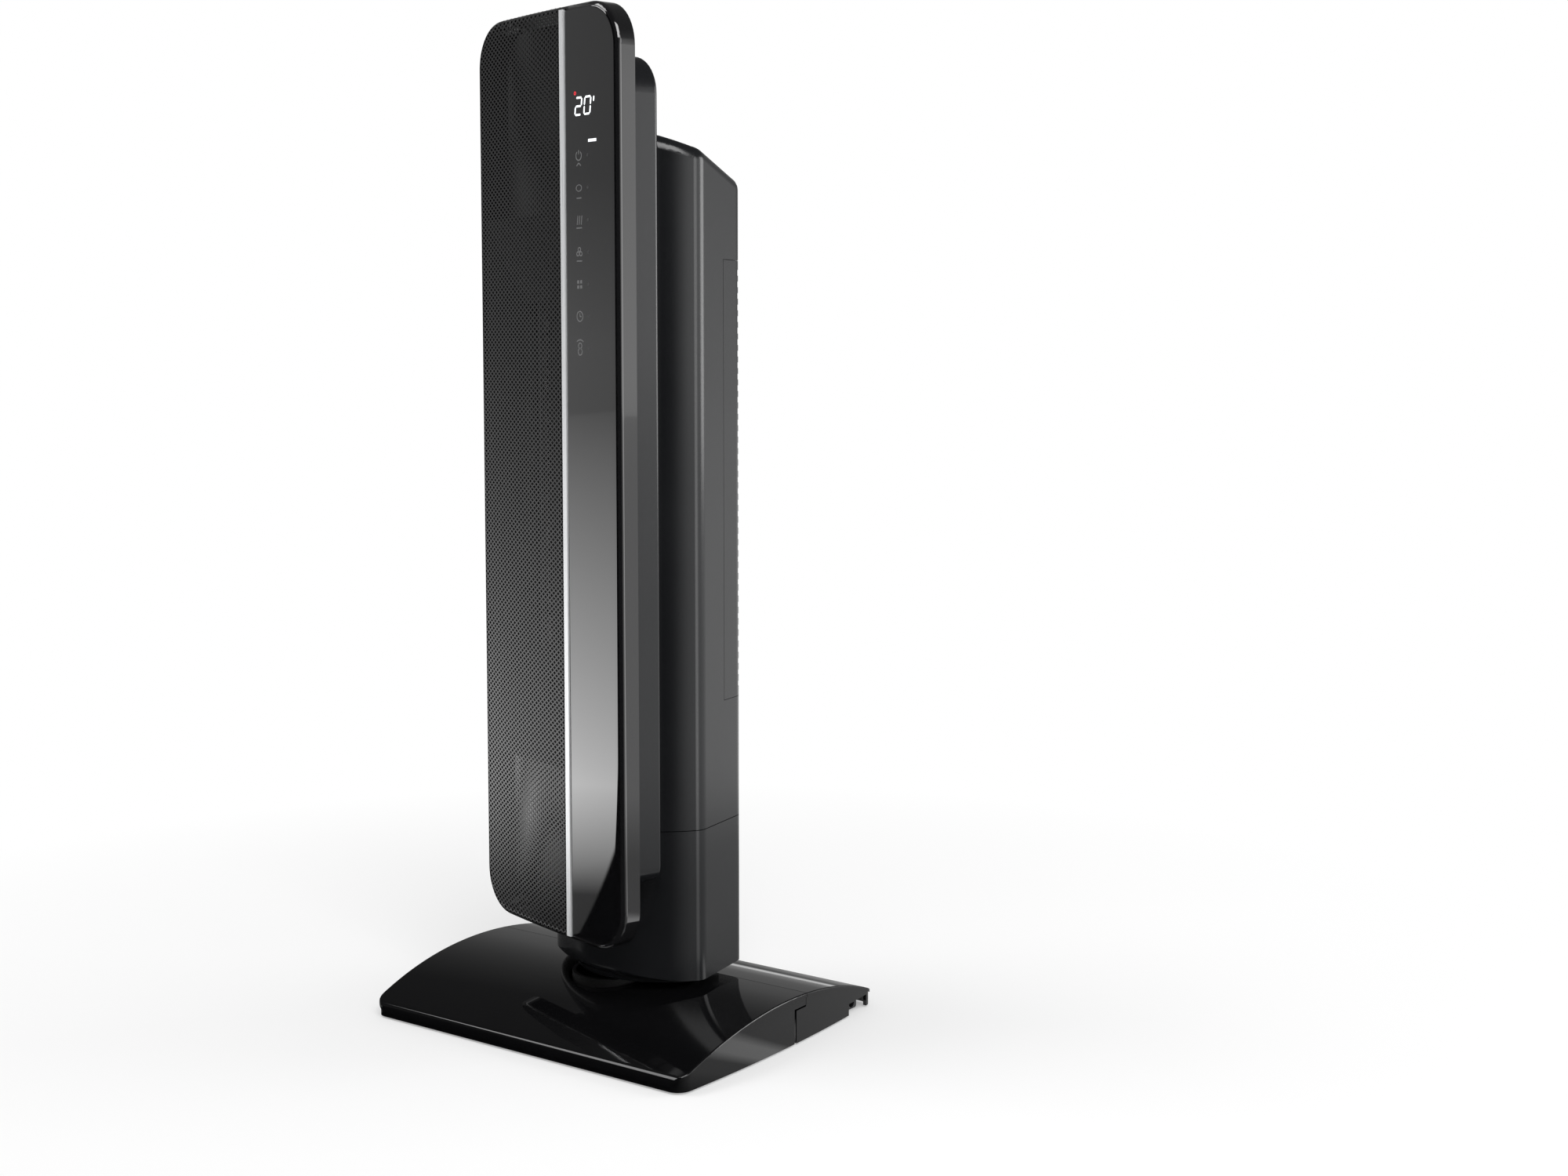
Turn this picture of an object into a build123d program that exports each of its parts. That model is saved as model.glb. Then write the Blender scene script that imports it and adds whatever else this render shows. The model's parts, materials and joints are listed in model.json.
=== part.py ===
from build123d import *
from math import asin, cos, pi, radians, sin, tan
import os

# Ceramic tower heater on a swinging base.
# Millimetres, +Z up, front towards -Y, origin on the floor under the middle of the base.
# The tower is drawn square to its own axes, round its swing axis, and turned when it is written.

# Whole object
overall_height = 800
swing_axis_y = -20
rest_turn = -15
run_gap = 0.05
slide_gap = 0.4

# Base
base_front_y = -133
base_rear_y = 133
base_half_front = 160
base_bulge = 3
base_taper = 7
base_front_corner = 13
base_rear_corner = 12
base_crown_z = 39.5
base_edge_z = 12
base_nose_round = 8
nose_overlap = 0.3
base_rim_z = 1.6
base_edge_round = 1.2
base_overrun = 7
base_skin = 3
base_wall = 3
side_recess = 1.2
base_seam_y = 24
seam_width = 0.6
seam_depth = 2
tongue_y = 9
tongue_gap = 2.8
tongue_top_z = 29
rib_thickness = 2.5
rear_rib_x = 30
front_rib_run = 172
rear_rib_run = 102
foot_radius = 9
foot_height = 3
foot_inset_x = 32
foot_rear_inset_x = 35
foot_bevel = 0.8
foot_front_inset = 33
foot_rear_inset = 35
foot_boss_wall = 2
cord_inset = 27
cord_notch_width = 30
cord_notch_top_z = 11
cord_radius = 3.6
cord_z = 6.6
gland_length = 16
gland_width = 14
gland_foot_z = 2

# Turntable and swing drive
well_radius = 36
well_wall = 3.6
well_floor_z = 19
well_floor = 4
spindle_radius = 9
spindle_bore = 6.5
slide_play = 0.1
washer_thickness = 2.6
retainer_radius = 14
retainer_thickness = 2.5
slide_ring_height = 1
turntable_skirt_radius = 33
turntable_skirt_wall = 3
turntable_plate_z = 31
turntable_plate = 3
gear_module = 1
sun_teeth = 32
pinion_teeth = 12
gear_width = 6
gear_lift = 0.4
gear_backlash = 0.3
addendum = 0.8
dedendum = 1.15
pressure_angle = 20
sun_bore_gap = 1.5
pinion_shaft_radius = 2.5
swing_motor_radius = 20
swing_motor_height = 16
motor_hole_gap = 1.5

# Tower body
body_floor_z = 41
body_step_z = 46
body_step = 16
body_half = 86
body_front_y = -36
body_side_y = 27
body_rear_y = 88
body_rear_half = 58
body_crease_round = 13
body_rear_corner = 14
body_wall = 2.5
body_foot_round = 18
housing_seam_z = 166
roof_drop = 93
roof_slope = 0.37
roof_round = 10

# Front panel
panel_bottom_z = 82
panel_half = 98
panel_corner = 35
panel_front_y = -62
panel_back_y = -42
panel_bow = 4
panel_edge_round = 5
panel_rim = 3
panel_wall = 3
cut_proud = 1
ledge = 1.6
sheet_thickness = 1.2
strip_left = 27
strip_width = 5.2
strip_proud = 0.4
strip_depth = 3
lens_thickness = 2
joint_gap = 0.2

# Mid frame
mid_half = 88
mid_bottom_z = 132
mid_top_drop = 37
mid_back_y = -14
mid_back_round = 3
mid_top_corner = 30
mid_bottom_corner = 12
mid_wall = 2.5

# Heater and its outlet
outlet_x = -35
outlet_width = 40
outlet_bottom_z = 300
outlet_top_drop = 220
heater_wall = 3
heater_front_y = -42
core_thickness = 4
core_count = 2
core_depth = 14
fin_slots = 20
fin_thickness = 2
fin_band = 1
core_front_y = -35
rib_width = 2.4
rib_depth = 4
mouth_left_inset = 8
mouth_right_inset = 6
mouth_bottom_z = 215
mouth_top_drop = 155
mouth_depth = 5.6
funnel_wall = 2
cutout_radius = 8
cutout_height = 4

# Blower
impeller_x = -12
impeller_y = 36
impeller_radius = 30
impeller_inner = 23
blade_count = 20
blade_thickness = 1.2
blade_sag = 1.4
blade_lean = 32
disc_thickness = 2
disc_count = 4
end_gap = 3
scroll_gap = 4
scroll_wall = 2.5
scroll_inlet_start = 48
duct_width = 30
fan_shaft_radius = 3
fan_motor_radius = 27
fan_motor_height = 40
bush_radius = 7
bush_height = 6
shaft_tail = 6

# Controls
board_left_inset = 4
board_right_inset = 12
board_height = 215
board_top_drop = 55
board_thickness = 1.6
board_front_y = -56
post_radius = 3
post_inset = 6
display_inset = 39
display_drop = 75
display_width = 34
display_height = 20
display_thickness = 1.3

# Power electronics
power_half = 45
power_lift = 14
power_height = 65
power_standoff = 6
relay_size = 16
relay_depth = 14
relay_spacing = 40

# Rear grille and filter
grille_bottom_z = 264
grille_top_drop = 188
grille_start_y = 60
grille_thickness = 3
louvre_pitch = 9.15
louvre_slot = 4.6
louvre_span = 38
louvre_bar = 3
louvre_columns = 3
filter_thickness = 2

# Carrying recess
handle_half = 45
handle_lift = 20
handle_height = 24
handle_depth = 22

# Mains switch
switch_z = 110
switch_half = 13.5
switch_height = 24
switch_depth = 16
switch_cut = 8
switch_bezel = 1.5
switch_well = 10
rocker_half = 10
rocker_pivot_y = 84
rocker_pivot_radius = 2
rocker_pivot_reach = 2
rocker_tilt = 7
rocker_reach = 8.2
rocker_rise = 5.5
rocker_dip = 3.6
rocker_back = 4

# Tip-over cut-out
tilt_x = -60
tilt_y = 50
tilt_radius = 6
tilt_sleeve_wall = 2
tilt_sleeve_top_z = 14
tilt_stroke = 4
tilt_collar_radius = 8
tilt_collar = 1.5
tilt_floor_gap = 0.3
tilt_rib = 18
tilt_switch_width = 16
tilt_switch_depth = 9
tilt_switch_height = 10

# Values that follow
wide = overall_height / 2
tall = overall_height + panel_bottom_z
base_half_mid = base_half_front + base_bulge
base_half_rear = base_half_front - base_taper
foot_x = base_half_front - foot_inset_x
foot_rear_x = base_half_rear - foot_rear_inset_x
foot_front_y = base_front_y + foot_front_inset
foot_rear_y = base_rear_y - foot_rear_inset
cord_y = base_rear_y - cord_inset
roof_front_z = overall_height - roof_drop
mid_top_z = overall_height - mid_top_drop
outlet_top_z = overall_height - outlet_top_drop
mouth_top_z = overall_height - mouth_top_drop
strip_right = strip_left + strip_width
mouth_left = mouth_left_inset - panel_half
mouth_right = strip_left - mouth_right_inset
board_left = strip_right + board_left_inset
board_right = panel_half - board_right_inset
board_top_z = overall_height - board_top_drop
board_bottom_z = board_top_z - board_height
display_x = panel_half - display_inset
display_z = overall_height - display_drop
power_bottom_z = housing_seam_z + power_lift
power_top_z = power_bottom_z + power_height
grille_top_z = overall_height - grille_top_drop
louvre_count = int((grille_top_z - grille_bottom_z) / louvre_pitch) - 1
handle_bottom_z = grille_top_z + handle_lift
handle_top_z = handle_bottom_z + handle_height
panel_height = overall_height - panel_bottom_z
panel_middle_z = (overall_height + panel_bottom_z) / 2
sun_radius = gear_module * sun_teeth / 2
pinion_radius = gear_module * pinion_teeth / 2
pinion_y = sun_radius + pinion_radius
gear_z = well_floor_z + well_floor + gear_lift
impeller_bottom_z = outlet_bottom_z + end_gap
impeller_top_z = outlet_top_z - end_gap
scroll_radius = impeller_radius + scroll_gap
duct_left = outlet_x - duct_width / 2
duct_right = outlet_x + duct_width / 2
grille_middle_z = (grille_bottom_z + grille_top_z) / 2
well_top_z = well_floor_z + well_floor
spindle_foot_z = well_floor_z - washer_thickness - slide_play
skirt_foot_z = well_top_z + slide_ring_height + slide_play
panel_depth = panel_back_y - panel_front_y
control_floor_y = panel_back_y - panel_wall
arch_rise = base_crown_z - base_edge_z
arch_radius = (base_front_y**2 + arch_rise**2) / (2 * arch_rise)
arch_end_y = base_rear_y + base_overrun
arch_end_z = base_crown_z - arch_radius + (arch_radius**2 - arch_end_y**2) ** 0.5
arch_foot_z = arch_end_z - base_edge_z
nose_y = base_front_y + base_nose_round - nose_overlap
nose_z = base_crown_z - arch_radius + ((arch_radius - base_nose_round) ** 2 - nose_y**2) ** 0.5
nose_turn = asin(-nose_y / (arch_radius - base_nose_round))
nose_middle_turn = (pi / 2 + nose_turn) / 2
foot_reach = -body_front_y - body_foot_round
foot_round_y = (body_half**2 + body_side_y**2 - foot_reach**2) / (2 * (foot_reach + body_side_y))
bow_radius = (panel_half**2 + panel_bow**2) / (2 * panel_bow)
fin_width = (outlet_width - core_count * core_thickness) / (core_count + 1)
outlet_height = outlet_top_z - outlet_bottom_z
outlet_middle_z = (outlet_top_z + outlet_bottom_z) / 2
tilt_collar_z = tilt_sleeve_top_z + tilt_stroke

swing_home = Location((0, swing_axis_y, 0)) * Location((0, 0, 0), (0, 0, rest_turn))
base_home = Location((0, 0, 0))

os.makedirs("parts", exist_ok=True)


def write(piece, label, home):
    """Name a finished piece, bring it home and write its file."""
    placed = piece.moved(home)
    placed.label = label
    export_step(placed, "parts/" + label + ".step")


# Base shell


def base_plan(inset):
    """Outline of the base from above, drawn in by inset."""
    with BuildSketch() as plan:
        with BuildLine():
            ThreePointArc(
                (base_half_front, base_front_y),
                (base_half_mid, 0),
                (base_half_rear, base_rear_y),
            )
            Line((base_half_rear, base_rear_y), (-base_half_rear, base_rear_y))
            ThreePointArc(
                (-base_half_rear, base_rear_y),
                (-base_half_mid, 0),
                (-base_half_front, base_front_y),
            )
            Line((-base_half_front, base_front_y), (base_half_front, base_front_y))
        make_face()
        fillet(plan.vertices().group_by(Axis.Y)[0], base_front_corner)
        fillet(plan.vertices().group_by(Axis.Y)[-1], base_rear_corner)
        if inset > 0:
            offset(amount=-inset, mode=Mode.REPLACE)
    return plan.sketch


def nose_point(turn, drop):
    """Point on the base's rounded nose, at an angle from upright, lowered by drop."""
    return nose_y - base_nose_round * sin(turn), nose_z + base_nose_round * cos(turn) - drop


def base_block(inset, drop):
    """Solid under the arch, drawn in by inset and lowered by drop."""
    with BuildPart() as block:
        with BuildSketch(Plane.YZ):
            with BuildLine():
                ThreePointArc(
                    nose_point(pi / 2, drop),
                    nose_point(nose_middle_turn, drop),
                    nose_point(nose_turn, drop),
                )
                ThreePointArc(
                    nose_point(nose_turn, drop),
                    (0, base_crown_z - drop),
                    (arch_end_y, arch_end_z - drop),
                )
                Polyline(
                    (arch_end_y, arch_end_z - drop),
                    (arch_end_y, arch_foot_z),
                    (nose_point(pi / 2, drop)[0], arch_foot_z),
                    nose_point(pi / 2, drop),
                )
            make_face()
        extrude(amount=wide, both=True)
        with BuildSketch(Plane.XY.offset(base_rim_z)):
            add(base_plan(inset))
        extrude(amount=tall, mode=Mode.INTERSECT)
    return block.part


def behind_nose(edge):
    """Whether an edge lies behind the rounded nose of the base."""
    return edge.center().Y > nose_y


wall_inset = side_recess + base_wall
with BuildPart() as seam_line:
    with Locations((0, base_seam_y, tongue_top_z)):
        Box(wide, seam_width, tall, align=(Align.CENTER, Align.CENTER, Align.MIN))
    add(base_block(seam_depth, seam_depth), mode=Mode.SUBTRACT)

with BuildPart() as base_shell:
    add(base_block(0, 0))
    fillet(base_shell.faces().sort_by(Axis.Z)[-1].edges().filter_by(behind_nose), base_edge_round)
    add(base_block(0, base_skin), mode=Mode.SUBTRACT)
    add(base_block(side_recess, base_skin))
    add(base_block(wall_inset, base_skin), mode=Mode.SUBTRACT)
    add(seam_line.part, mode=Mode.SUBTRACT)

hollow = base_block(wall_inset, base_skin)

# Tongues of the rear half, which run forward along the side walls under the skin
tongue_inner_x = base_half_mid - wall_inset - 2
with BuildPart() as tongues:
    add(base_shell.part)
    with Locations((0, tongue_y + tongue_gap / 2, 0)):
        Box(wide, wide, tall, align=(Align.CENTER, Align.MAX, Align.CENTER), mode=Mode.SUBTRACT)
    with Locations((0, base_seam_y, 0)):
        Box(wide, wide, tall, align=(Align.CENTER, Align.MIN, Align.CENTER), mode=Mode.SUBTRACT)
    with Locations((0, 0, tongue_top_z - tongue_gap / 2)):
        Box(wide, wide, tall, align=(Align.CENTER, Align.CENTER, Align.MIN), mode=Mode.SUBTRACT)
    Box(2 * tongue_inner_x, wide, tall, mode=Mode.SUBTRACT)

with BuildPart() as front_fittings:
    with BuildSketch(Plane.XY.offset(foot_height)):
        with Locations((-foot_x, foot_front_y), (foot_x, foot_front_y)):
            Circle(foot_radius + foot_boss_wall)
        with Locations((0, base_seam_y)):
            Rectangle(2 * tongue_inner_x, rib_thickness, align=(Align.CENTER, Align.MAX))
        with Locations((-foot_x, 0), (foot_x, 0)):
            Rectangle(rib_thickness, 2 * base_seam_y)
        with Locations((-foot_x, foot_front_y), (foot_x, foot_front_y)):
            Rectangle(rib_thickness, front_rib_run)
        with Locations((0, swing_axis_y)):
            Rectangle(2 * (foot_x + rib_thickness / 2), rib_thickness)
        with Locations((0, base_front_y)):
            Rectangle(rib_thickness, swing_axis_y - base_front_y, align=(Align.CENTER, Align.MIN))
    extrude(amount=base_crown_z)
    with Locations((0, base_seam_y, 0)):
        Box(wide, wide, tall, align=(Align.CENTER, Align.MIN, Align.CENTER), mode=Mode.SUBTRACT)
    with BuildSketch():
        with Locations((0, swing_axis_y)):
            Circle(well_radius - well_wall)
    extrude(amount=well_floor_z, mode=Mode.SUBTRACT)
    with BuildSketch(Plane.XY.offset(well_floor_z)):
        with Locations((0, swing_axis_y)):
            Circle(well_radius + well_wall)
    extrude(amount=base_crown_z)
    add(hollow, mode=Mode.INTERSECT)

with BuildPart() as base_front:
    add(base_shell.part)
    with Locations((0, base_seam_y, 0)):
        Box(wide, wide, tall, align=(Align.CENTER, Align.MIN, Align.CENTER), mode=Mode.SUBTRACT)
    for side in (-1, 1):
        with Locations((side * (tongue_inner_x + wide / 2), base_seam_y, tongue_top_z)):
            Box(
                wide,
                base_seam_y - tongue_y + tongue_gap / 2,
                tall,
                align=(Align.CENTER, Align.MAX, Align.MAX),
                mode=Mode.SUBTRACT,
            )
    add(front_fittings.part)
    with BuildSketch(Plane.XY.offset(well_floor_z + well_floor)):
        with Locations((0, swing_axis_y)):
            Circle(well_radius)
    extrude(amount=base_crown_z, mode=Mode.SUBTRACT)
    with BuildSketch():
        with Locations((0, swing_axis_y)):
            Circle(spindle_radius + run_gap)
    extrude(amount=base_crown_z, mode=Mode.SUBTRACT)
write(base_front.part, "base_front", base_home)

with BuildPart() as rear_fittings:
    with BuildSketch(Plane.XY.offset(foot_height)):
        with Locations((-foot_rear_x, foot_rear_y), (foot_rear_x, foot_rear_y)):
            Circle(foot_radius + foot_boss_wall)
            Rectangle(rib_thickness, rear_rib_run)
        with Locations((0, base_seam_y)):
            Rectangle(2 * tongue_inner_x, rib_thickness, align=(Align.CENTER, Align.MIN))
        with Locations((-rear_rib_x, base_rear_y), (rear_rib_x, base_rear_y)):
            Rectangle(rib_thickness, base_rear_y - base_seam_y, align=(Align.CENTER, Align.MAX))
        with Locations((tilt_x, tilt_y)):
            Rectangle(tilt_rib, rib_thickness)
    extrude(amount=base_crown_z)
    with BuildSketch(Plane.XY.offset(foot_height)):
        with Locations((tilt_x, tilt_y)):
            Circle(tilt_radius + tilt_sleeve_wall)
    extrude(amount=tilt_sleeve_top_z - foot_height)
    with BuildSketch(Plane.XY.offset(cord_z + 2 * cord_radius)):
        with Locations((base_half_rear, cord_y)):
            Rectangle(2 * gland_length, gland_width)
    extrude(amount=base_crown_z)
    add(hollow, mode=Mode.INTERSECT)

with BuildPart() as base_rear:
    add(base_shell.part)
    with Locations((0, base_seam_y, 0)):
        Box(wide, wide, tall, align=(Align.CENTER, Align.MAX, Align.CENTER), mode=Mode.SUBTRACT)
    add(tongues.part)
    add(rear_fittings.part)
    with BuildSketch():
        with Locations((tilt_x, tilt_y)):
            Circle(tilt_radius + run_gap)
    extrude(amount=tilt_sleeve_top_z, mode=Mode.SUBTRACT)
    with BuildSketch(Plane.XY.offset(tilt_sleeve_top_z)):
        with Locations((tilt_x, tilt_y)):
            Circle(tilt_collar_radius + slide_gap)
    extrude(amount=tilt_stroke + tilt_collar + slide_gap, mode=Mode.SUBTRACT)
    with Locations((base_half_rear, cord_y, 0)):
        Box(2 * gland_length, cord_notch_width, 2 * cord_notch_top_z, mode=Mode.SUBTRACT)
write(base_rear.part, "base_rear", base_home)

feet = {
    "foot_front_left": (-foot_x, foot_front_y),
    "foot_front_right": (foot_x, foot_front_y),
    "foot_rear_left": (-foot_rear_x, foot_rear_y),
    "foot_rear_right": (foot_rear_x, foot_rear_y),
}
for label, place in feet.items():
    with BuildPart() as foot:
        with BuildSketch():
            with Locations(place):
                Circle(foot_radius)
        extrude(amount=foot_height)
        chamfer(foot.faces().sort_by(Axis.Z)[0].edges(), foot_bevel)
    write(foot.part, label, base_home)

with BuildPart() as slide_ring:
    with BuildSketch(Plane.XY.offset(well_top_z)):
        with Locations((0, swing_axis_y)):
            Circle(turntable_skirt_radius)
            Circle(turntable_skirt_radius - turntable_skirt_wall, mode=Mode.SUBTRACT)
    extrude(amount=slide_ring_height)
write(slide_ring.part, "slide_ring", base_home)

with BuildPart() as thrust_washer:
    with BuildSketch(Plane.XY.offset(well_floor_z - washer_thickness)):
        with Locations((0, swing_axis_y)):
            Circle(retainer_radius)
            Circle(spindle_radius + run_gap, mode=Mode.SUBTRACT)
    extrude(amount=washer_thickness)
write(thrust_washer.part, "thrust_washer", base_home)


def gear_outline(teeth, first_tooth):
    """Spur gear of straight-sided teeth, its first tooth at an angle from +X."""
    pitch = gear_module * teeth / 2
    root = pitch - dedendum * gear_module
    tip = pitch + addendum * gear_module
    flank = tan(radians(pressure_angle))
    half_pitch_width = (pi * gear_module / 2 - gear_backlash) / 2
    half_root = half_pitch_width + (pitch - root) * flank
    half_tip = half_pitch_width - (tip - pitch) * flank
    with BuildSketch() as outline:
        Circle(root)
        with PolarLocations(0, teeth, start_angle=first_tooth):
            Polygon(
                (root * cos(half_root / root) - gear_backlash, -half_root),
                (tip, -half_tip),
                (tip, half_tip),
                (root * cos(half_root / root) - gear_backlash, half_root),
                align=None,
            )
    return outline.sketch


# The fixed gear is drawn round the swing axis, with a tooth where the pinion stands at rest
with BuildPart() as sun_gear:
    with BuildSketch(Plane.XY.offset(well_top_z)):
        add(gear_outline(sun_teeth, 90 + rest_turn))
        Circle(spindle_radius + sun_bore_gap, mode=Mode.SUBTRACT)
    extrude(amount=gear_width)
write(sun_gear.part, "sun_gear", Location((0, swing_axis_y, 0)))

gland_x = base_half_rear - wall_inset - gland_length / 2
with BuildPart() as cord_gland:
    with BuildSketch(Plane.YZ.offset(gland_x - gland_length / 2)):
        with Locations((cord_y, (gland_foot_z + cord_z + 2 * cord_radius) / 2)):
            RectangleRounded(
                gland_width - 2 * joint_gap,
                cord_z + 2 * cord_radius - gland_foot_z,
                gland_foot_z,
            )
        with Locations((cord_y, cord_z)):
            Circle(cord_radius, mode=Mode.SUBTRACT)
    extrude(amount=gland_length)
write(cord_gland.part, "cord_gland", base_home)

with BuildPart() as tilt_plunger:
    with BuildSketch(Plane.XY.offset(tilt_floor_gap)):
        with Locations((tilt_x, tilt_y)):
            Circle(tilt_radius)
    extrude(amount=tilt_collar_z - tilt_floor_gap)
    with BuildSketch(Plane.XY.offset(tilt_collar_z)):
        with Locations((tilt_x, tilt_y)):
            Circle(tilt_collar_radius)
    extrude(amount=tilt_collar)
write(tilt_plunger.part, "tilt_plunger", base_home)

with BuildPart() as tilt_switch:
    with Locations((tilt_x, tilt_y + rib_thickness / 2, tilt_collar_z + tilt_collar + slide_gap)):
        Box(
            tilt_switch_width,
            tilt_switch_depth,
            tilt_switch_height,
            align=(Align.CENTER, Align.MIN, Align.MIN),
        )
write(tilt_switch.part, "tilt_switch", base_home)

# Turntable and swing drive

with BuildPart() as turntable:
    with BuildSketch(Plane.XZ):
        with BuildLine():
            Polyline(
                (spindle_bore, spindle_foot_z),
                (spindle_radius, spindle_foot_z),
                (spindle_radius, turntable_plate_z),
                (turntable_skirt_radius - turntable_skirt_wall, turntable_plate_z),
                (turntable_skirt_radius - turntable_skirt_wall, skirt_foot_z),
                (turntable_skirt_radius, skirt_foot_z),
                (turntable_skirt_radius, body_floor_z),
                (turntable_skirt_radius - turntable_skirt_wall, body_floor_z),
                (turntable_skirt_radius - turntable_skirt_wall, turntable_plate_z + turntable_plate),
                (spindle_bore, turntable_plate_z + turntable_plate),
                close=True,
            )
        make_face()
    revolve(axis=Axis.Z)
    with BuildSketch(Plane.XY.offset(turntable_plate_z)):
        with Locations((0, pinion_y)):
            Circle(pinion_shaft_radius + motor_hole_gap)
    extrude(amount=turntable_plate, mode=Mode.SUBTRACT)
write(turntable.part, "turntable", swing_home)

with BuildPart() as retaining_plate:
    with BuildSketch(Plane.XY.offset(spindle_foot_z - retainer_thickness)):
        Circle(retainer_radius)
        Circle(spindle_bore, mode=Mode.SUBTRACT)
    extrude(amount=retainer_thickness)
write(retaining_plate.part, "retaining_plate", swing_home)

motor_floor_z = body_floor_z + body_wall
with BuildPart() as swing_pinion:
    with BuildSketch(Plane.XY.offset(gear_z)):
        add(gear_outline(pinion_teeth, -90 + 180 / pinion_teeth))
    extrude(amount=gear_width - gear_lift)
    with BuildSketch(Plane.XY.offset(gear_z)):
        Circle(pinion_shaft_radius)
    extrude(amount=motor_floor_z + swing_motor_height / 2 - gear_z)
write(swing_pinion.part, "swing_pinion", swing_home * Location((0, pinion_y, 0)))

with BuildPart() as swing_motor:
    with BuildSketch(Plane.XY.offset(motor_floor_z)):
        Circle(swing_motor_radius)
    extrude(amount=swing_motor_height)
    with BuildSketch(Plane.XY.offset(motor_floor_z)):
        Circle(pinion_shaft_radius + run_gap)
    extrude(amount=swing_motor_height / 2 + slide_gap, mode=Mode.SUBTRACT)
write(swing_motor.part, "swing_motor", swing_home * Location((0, pinion_y, 0)))

# Tower body


def body_plan(inset):
    """Outline of the tower's body from above, drawn in by inset."""
    with BuildSketch() as plan:
        with BuildLine():
            ThreePointArc((-body_half, body_side_y), (0, body_front_y), (body_half, body_side_y))
            Polyline(
                (body_half, body_side_y),
                (body_rear_half, body_rear_y),
                (-body_rear_half, body_rear_y),
                (-body_half, body_side_y),
            )
        make_face()
        fillet(plan.vertices().group_by(Axis.Y)[-1], body_rear_corner)
        fillet(plan.vertices().group_by(Axis.X)[0], body_crease_round)
        fillet(plan.vertices().group_by(Axis.X)[-1], body_crease_round)
        if inset > 0:
            offset(amount=-inset, mode=Mode.REPLACE)
    return plan.sketch


def lower_block(inset, top_z):
    """Solid of the lower housing, its front foot rounded under, drawn in by inset."""
    step_z = body_step_z + inset
    foot_round = body_foot_round - inset
    lean = foot_round * cos(pi / 4)
    with BuildPart() as block:
        with BuildSketch(Plane.XY.offset(step_z)):
            add(body_plan(inset))
        extrude(amount=top_z - step_z)
        with BuildSketch(Plane((0, foot_round_y, 0), x_dir=(1, 0, 0), z_dir=(0, -1, 0))):
            with BuildLine():
                Line((0, step_z), (foot_round_y + foot_reach, step_z))
                ThreePointArc(
                    (foot_round_y + foot_reach, step_z),
                    (foot_round_y + foot_reach + lean, step_z + foot_round - lean),
                    (foot_round_y + foot_reach + foot_round, step_z + foot_round),
                )
                Polyline(
                    (foot_round_y + foot_reach + foot_round, step_z + foot_round),
                    (foot_round_y + foot_reach + foot_round, top_z),
                    (0, top_z),
                    (0, step_z),
                )
            make_face()
        revolve(axis=Axis((0, foot_round_y, 0), (0, 0, 1)), mode=Mode.INTERSECT)
        with BuildSketch(Plane.XY.offset(body_floor_z + inset)):
            add(body_plan(body_step + inset))
        extrude(amount=body_step_z - body_floor_z + inset)
    return block.part


with BuildPart() as lower_housing:
    add(lower_block(0, housing_seam_z))
    add(lower_block(body_wall, tall), mode=Mode.SUBTRACT)
    with Locations((0, mid_back_y, mid_bottom_z)):
        Box(wide, wide, tall, align=(Align.CENTER, Align.MAX, Align.MIN), mode=Mode.SUBTRACT)
    with BuildSketch(Plane.XY.offset(body_floor_z)):
        Circle(spindle_bore)
        with Locations((0, pinion_y)):
            Circle(pinion_shaft_radius + motor_hole_gap)
    extrude(amount=body_wall, mode=Mode.SUBTRACT)
    with Locations((0, body_rear_y, switch_z)):
        Box(
            2 * (switch_half + joint_gap),
            switch_cut,
            switch_height + 2 * joint_gap,
            mode=Mode.SUBTRACT,
        )
write(lower_housing.part, "lower_housing", swing_home)


def housing_block(inset):
    """Solid of the rear housing under its sloping roof, drawn in by inset."""
    with BuildPart() as block:
        with BuildSketch(Plane.XY.offset(housing_seam_z + seam_width)):
            add(body_plan(inset))
        extrude(amount=overall_height - housing_seam_z)
        roof = Plane((0, 0, roof_front_z - inset), x_dir=(1, 0, 0), z_dir=(0, roof_slope, 1))
        split(bisect_by=roof, keep=Keep.BOTTOM)
        fillet(block.faces().sort_by(Axis.Z)[-1].edges(), roof_round - inset)
    return block.part


with BuildPart() as rear_housing:
    add(housing_block(0))
    add(housing_block(body_wall), mode=Mode.SUBTRACT)
    with Locations((0, body_rear_y - body_wall / 2, (handle_bottom_z + handle_top_z) / 2)):
        Box(
            2 * (handle_half + body_wall),
            handle_depth,
            handle_top_z - handle_bottom_z + 2 * body_wall,
            align=(Align.CENTER, Align.MAX, Align.CENTER),
        )
    with Locations((0, body_rear_y + body_wall, (handle_bottom_z + handle_top_z) / 2)):
        Box(
            2 * handle_half,
            handle_depth + body_wall / 2,
            handle_top_z - handle_bottom_z,
            align=(Align.CENTER, Align.MAX, Align.CENTER),
            mode=Mode.SUBTRACT,
        )
    with Locations((0, mid_back_y, 0)):
        Box(wide, wide, 2 * tall, align=(Align.CENTER, Align.MAX, Align.CENTER), mode=Mode.SUBTRACT)
    with Locations((0, grille_start_y, grille_middle_z)):
        Box(
            wide,
            wide,
            grille_top_z - grille_bottom_z + 2 * slide_gap,
            align=(Align.CENTER, Align.MIN, Align.CENTER),
            mode=Mode.SUBTRACT,
        )
write(rear_housing.part, "rear_housing", swing_home)


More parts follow.
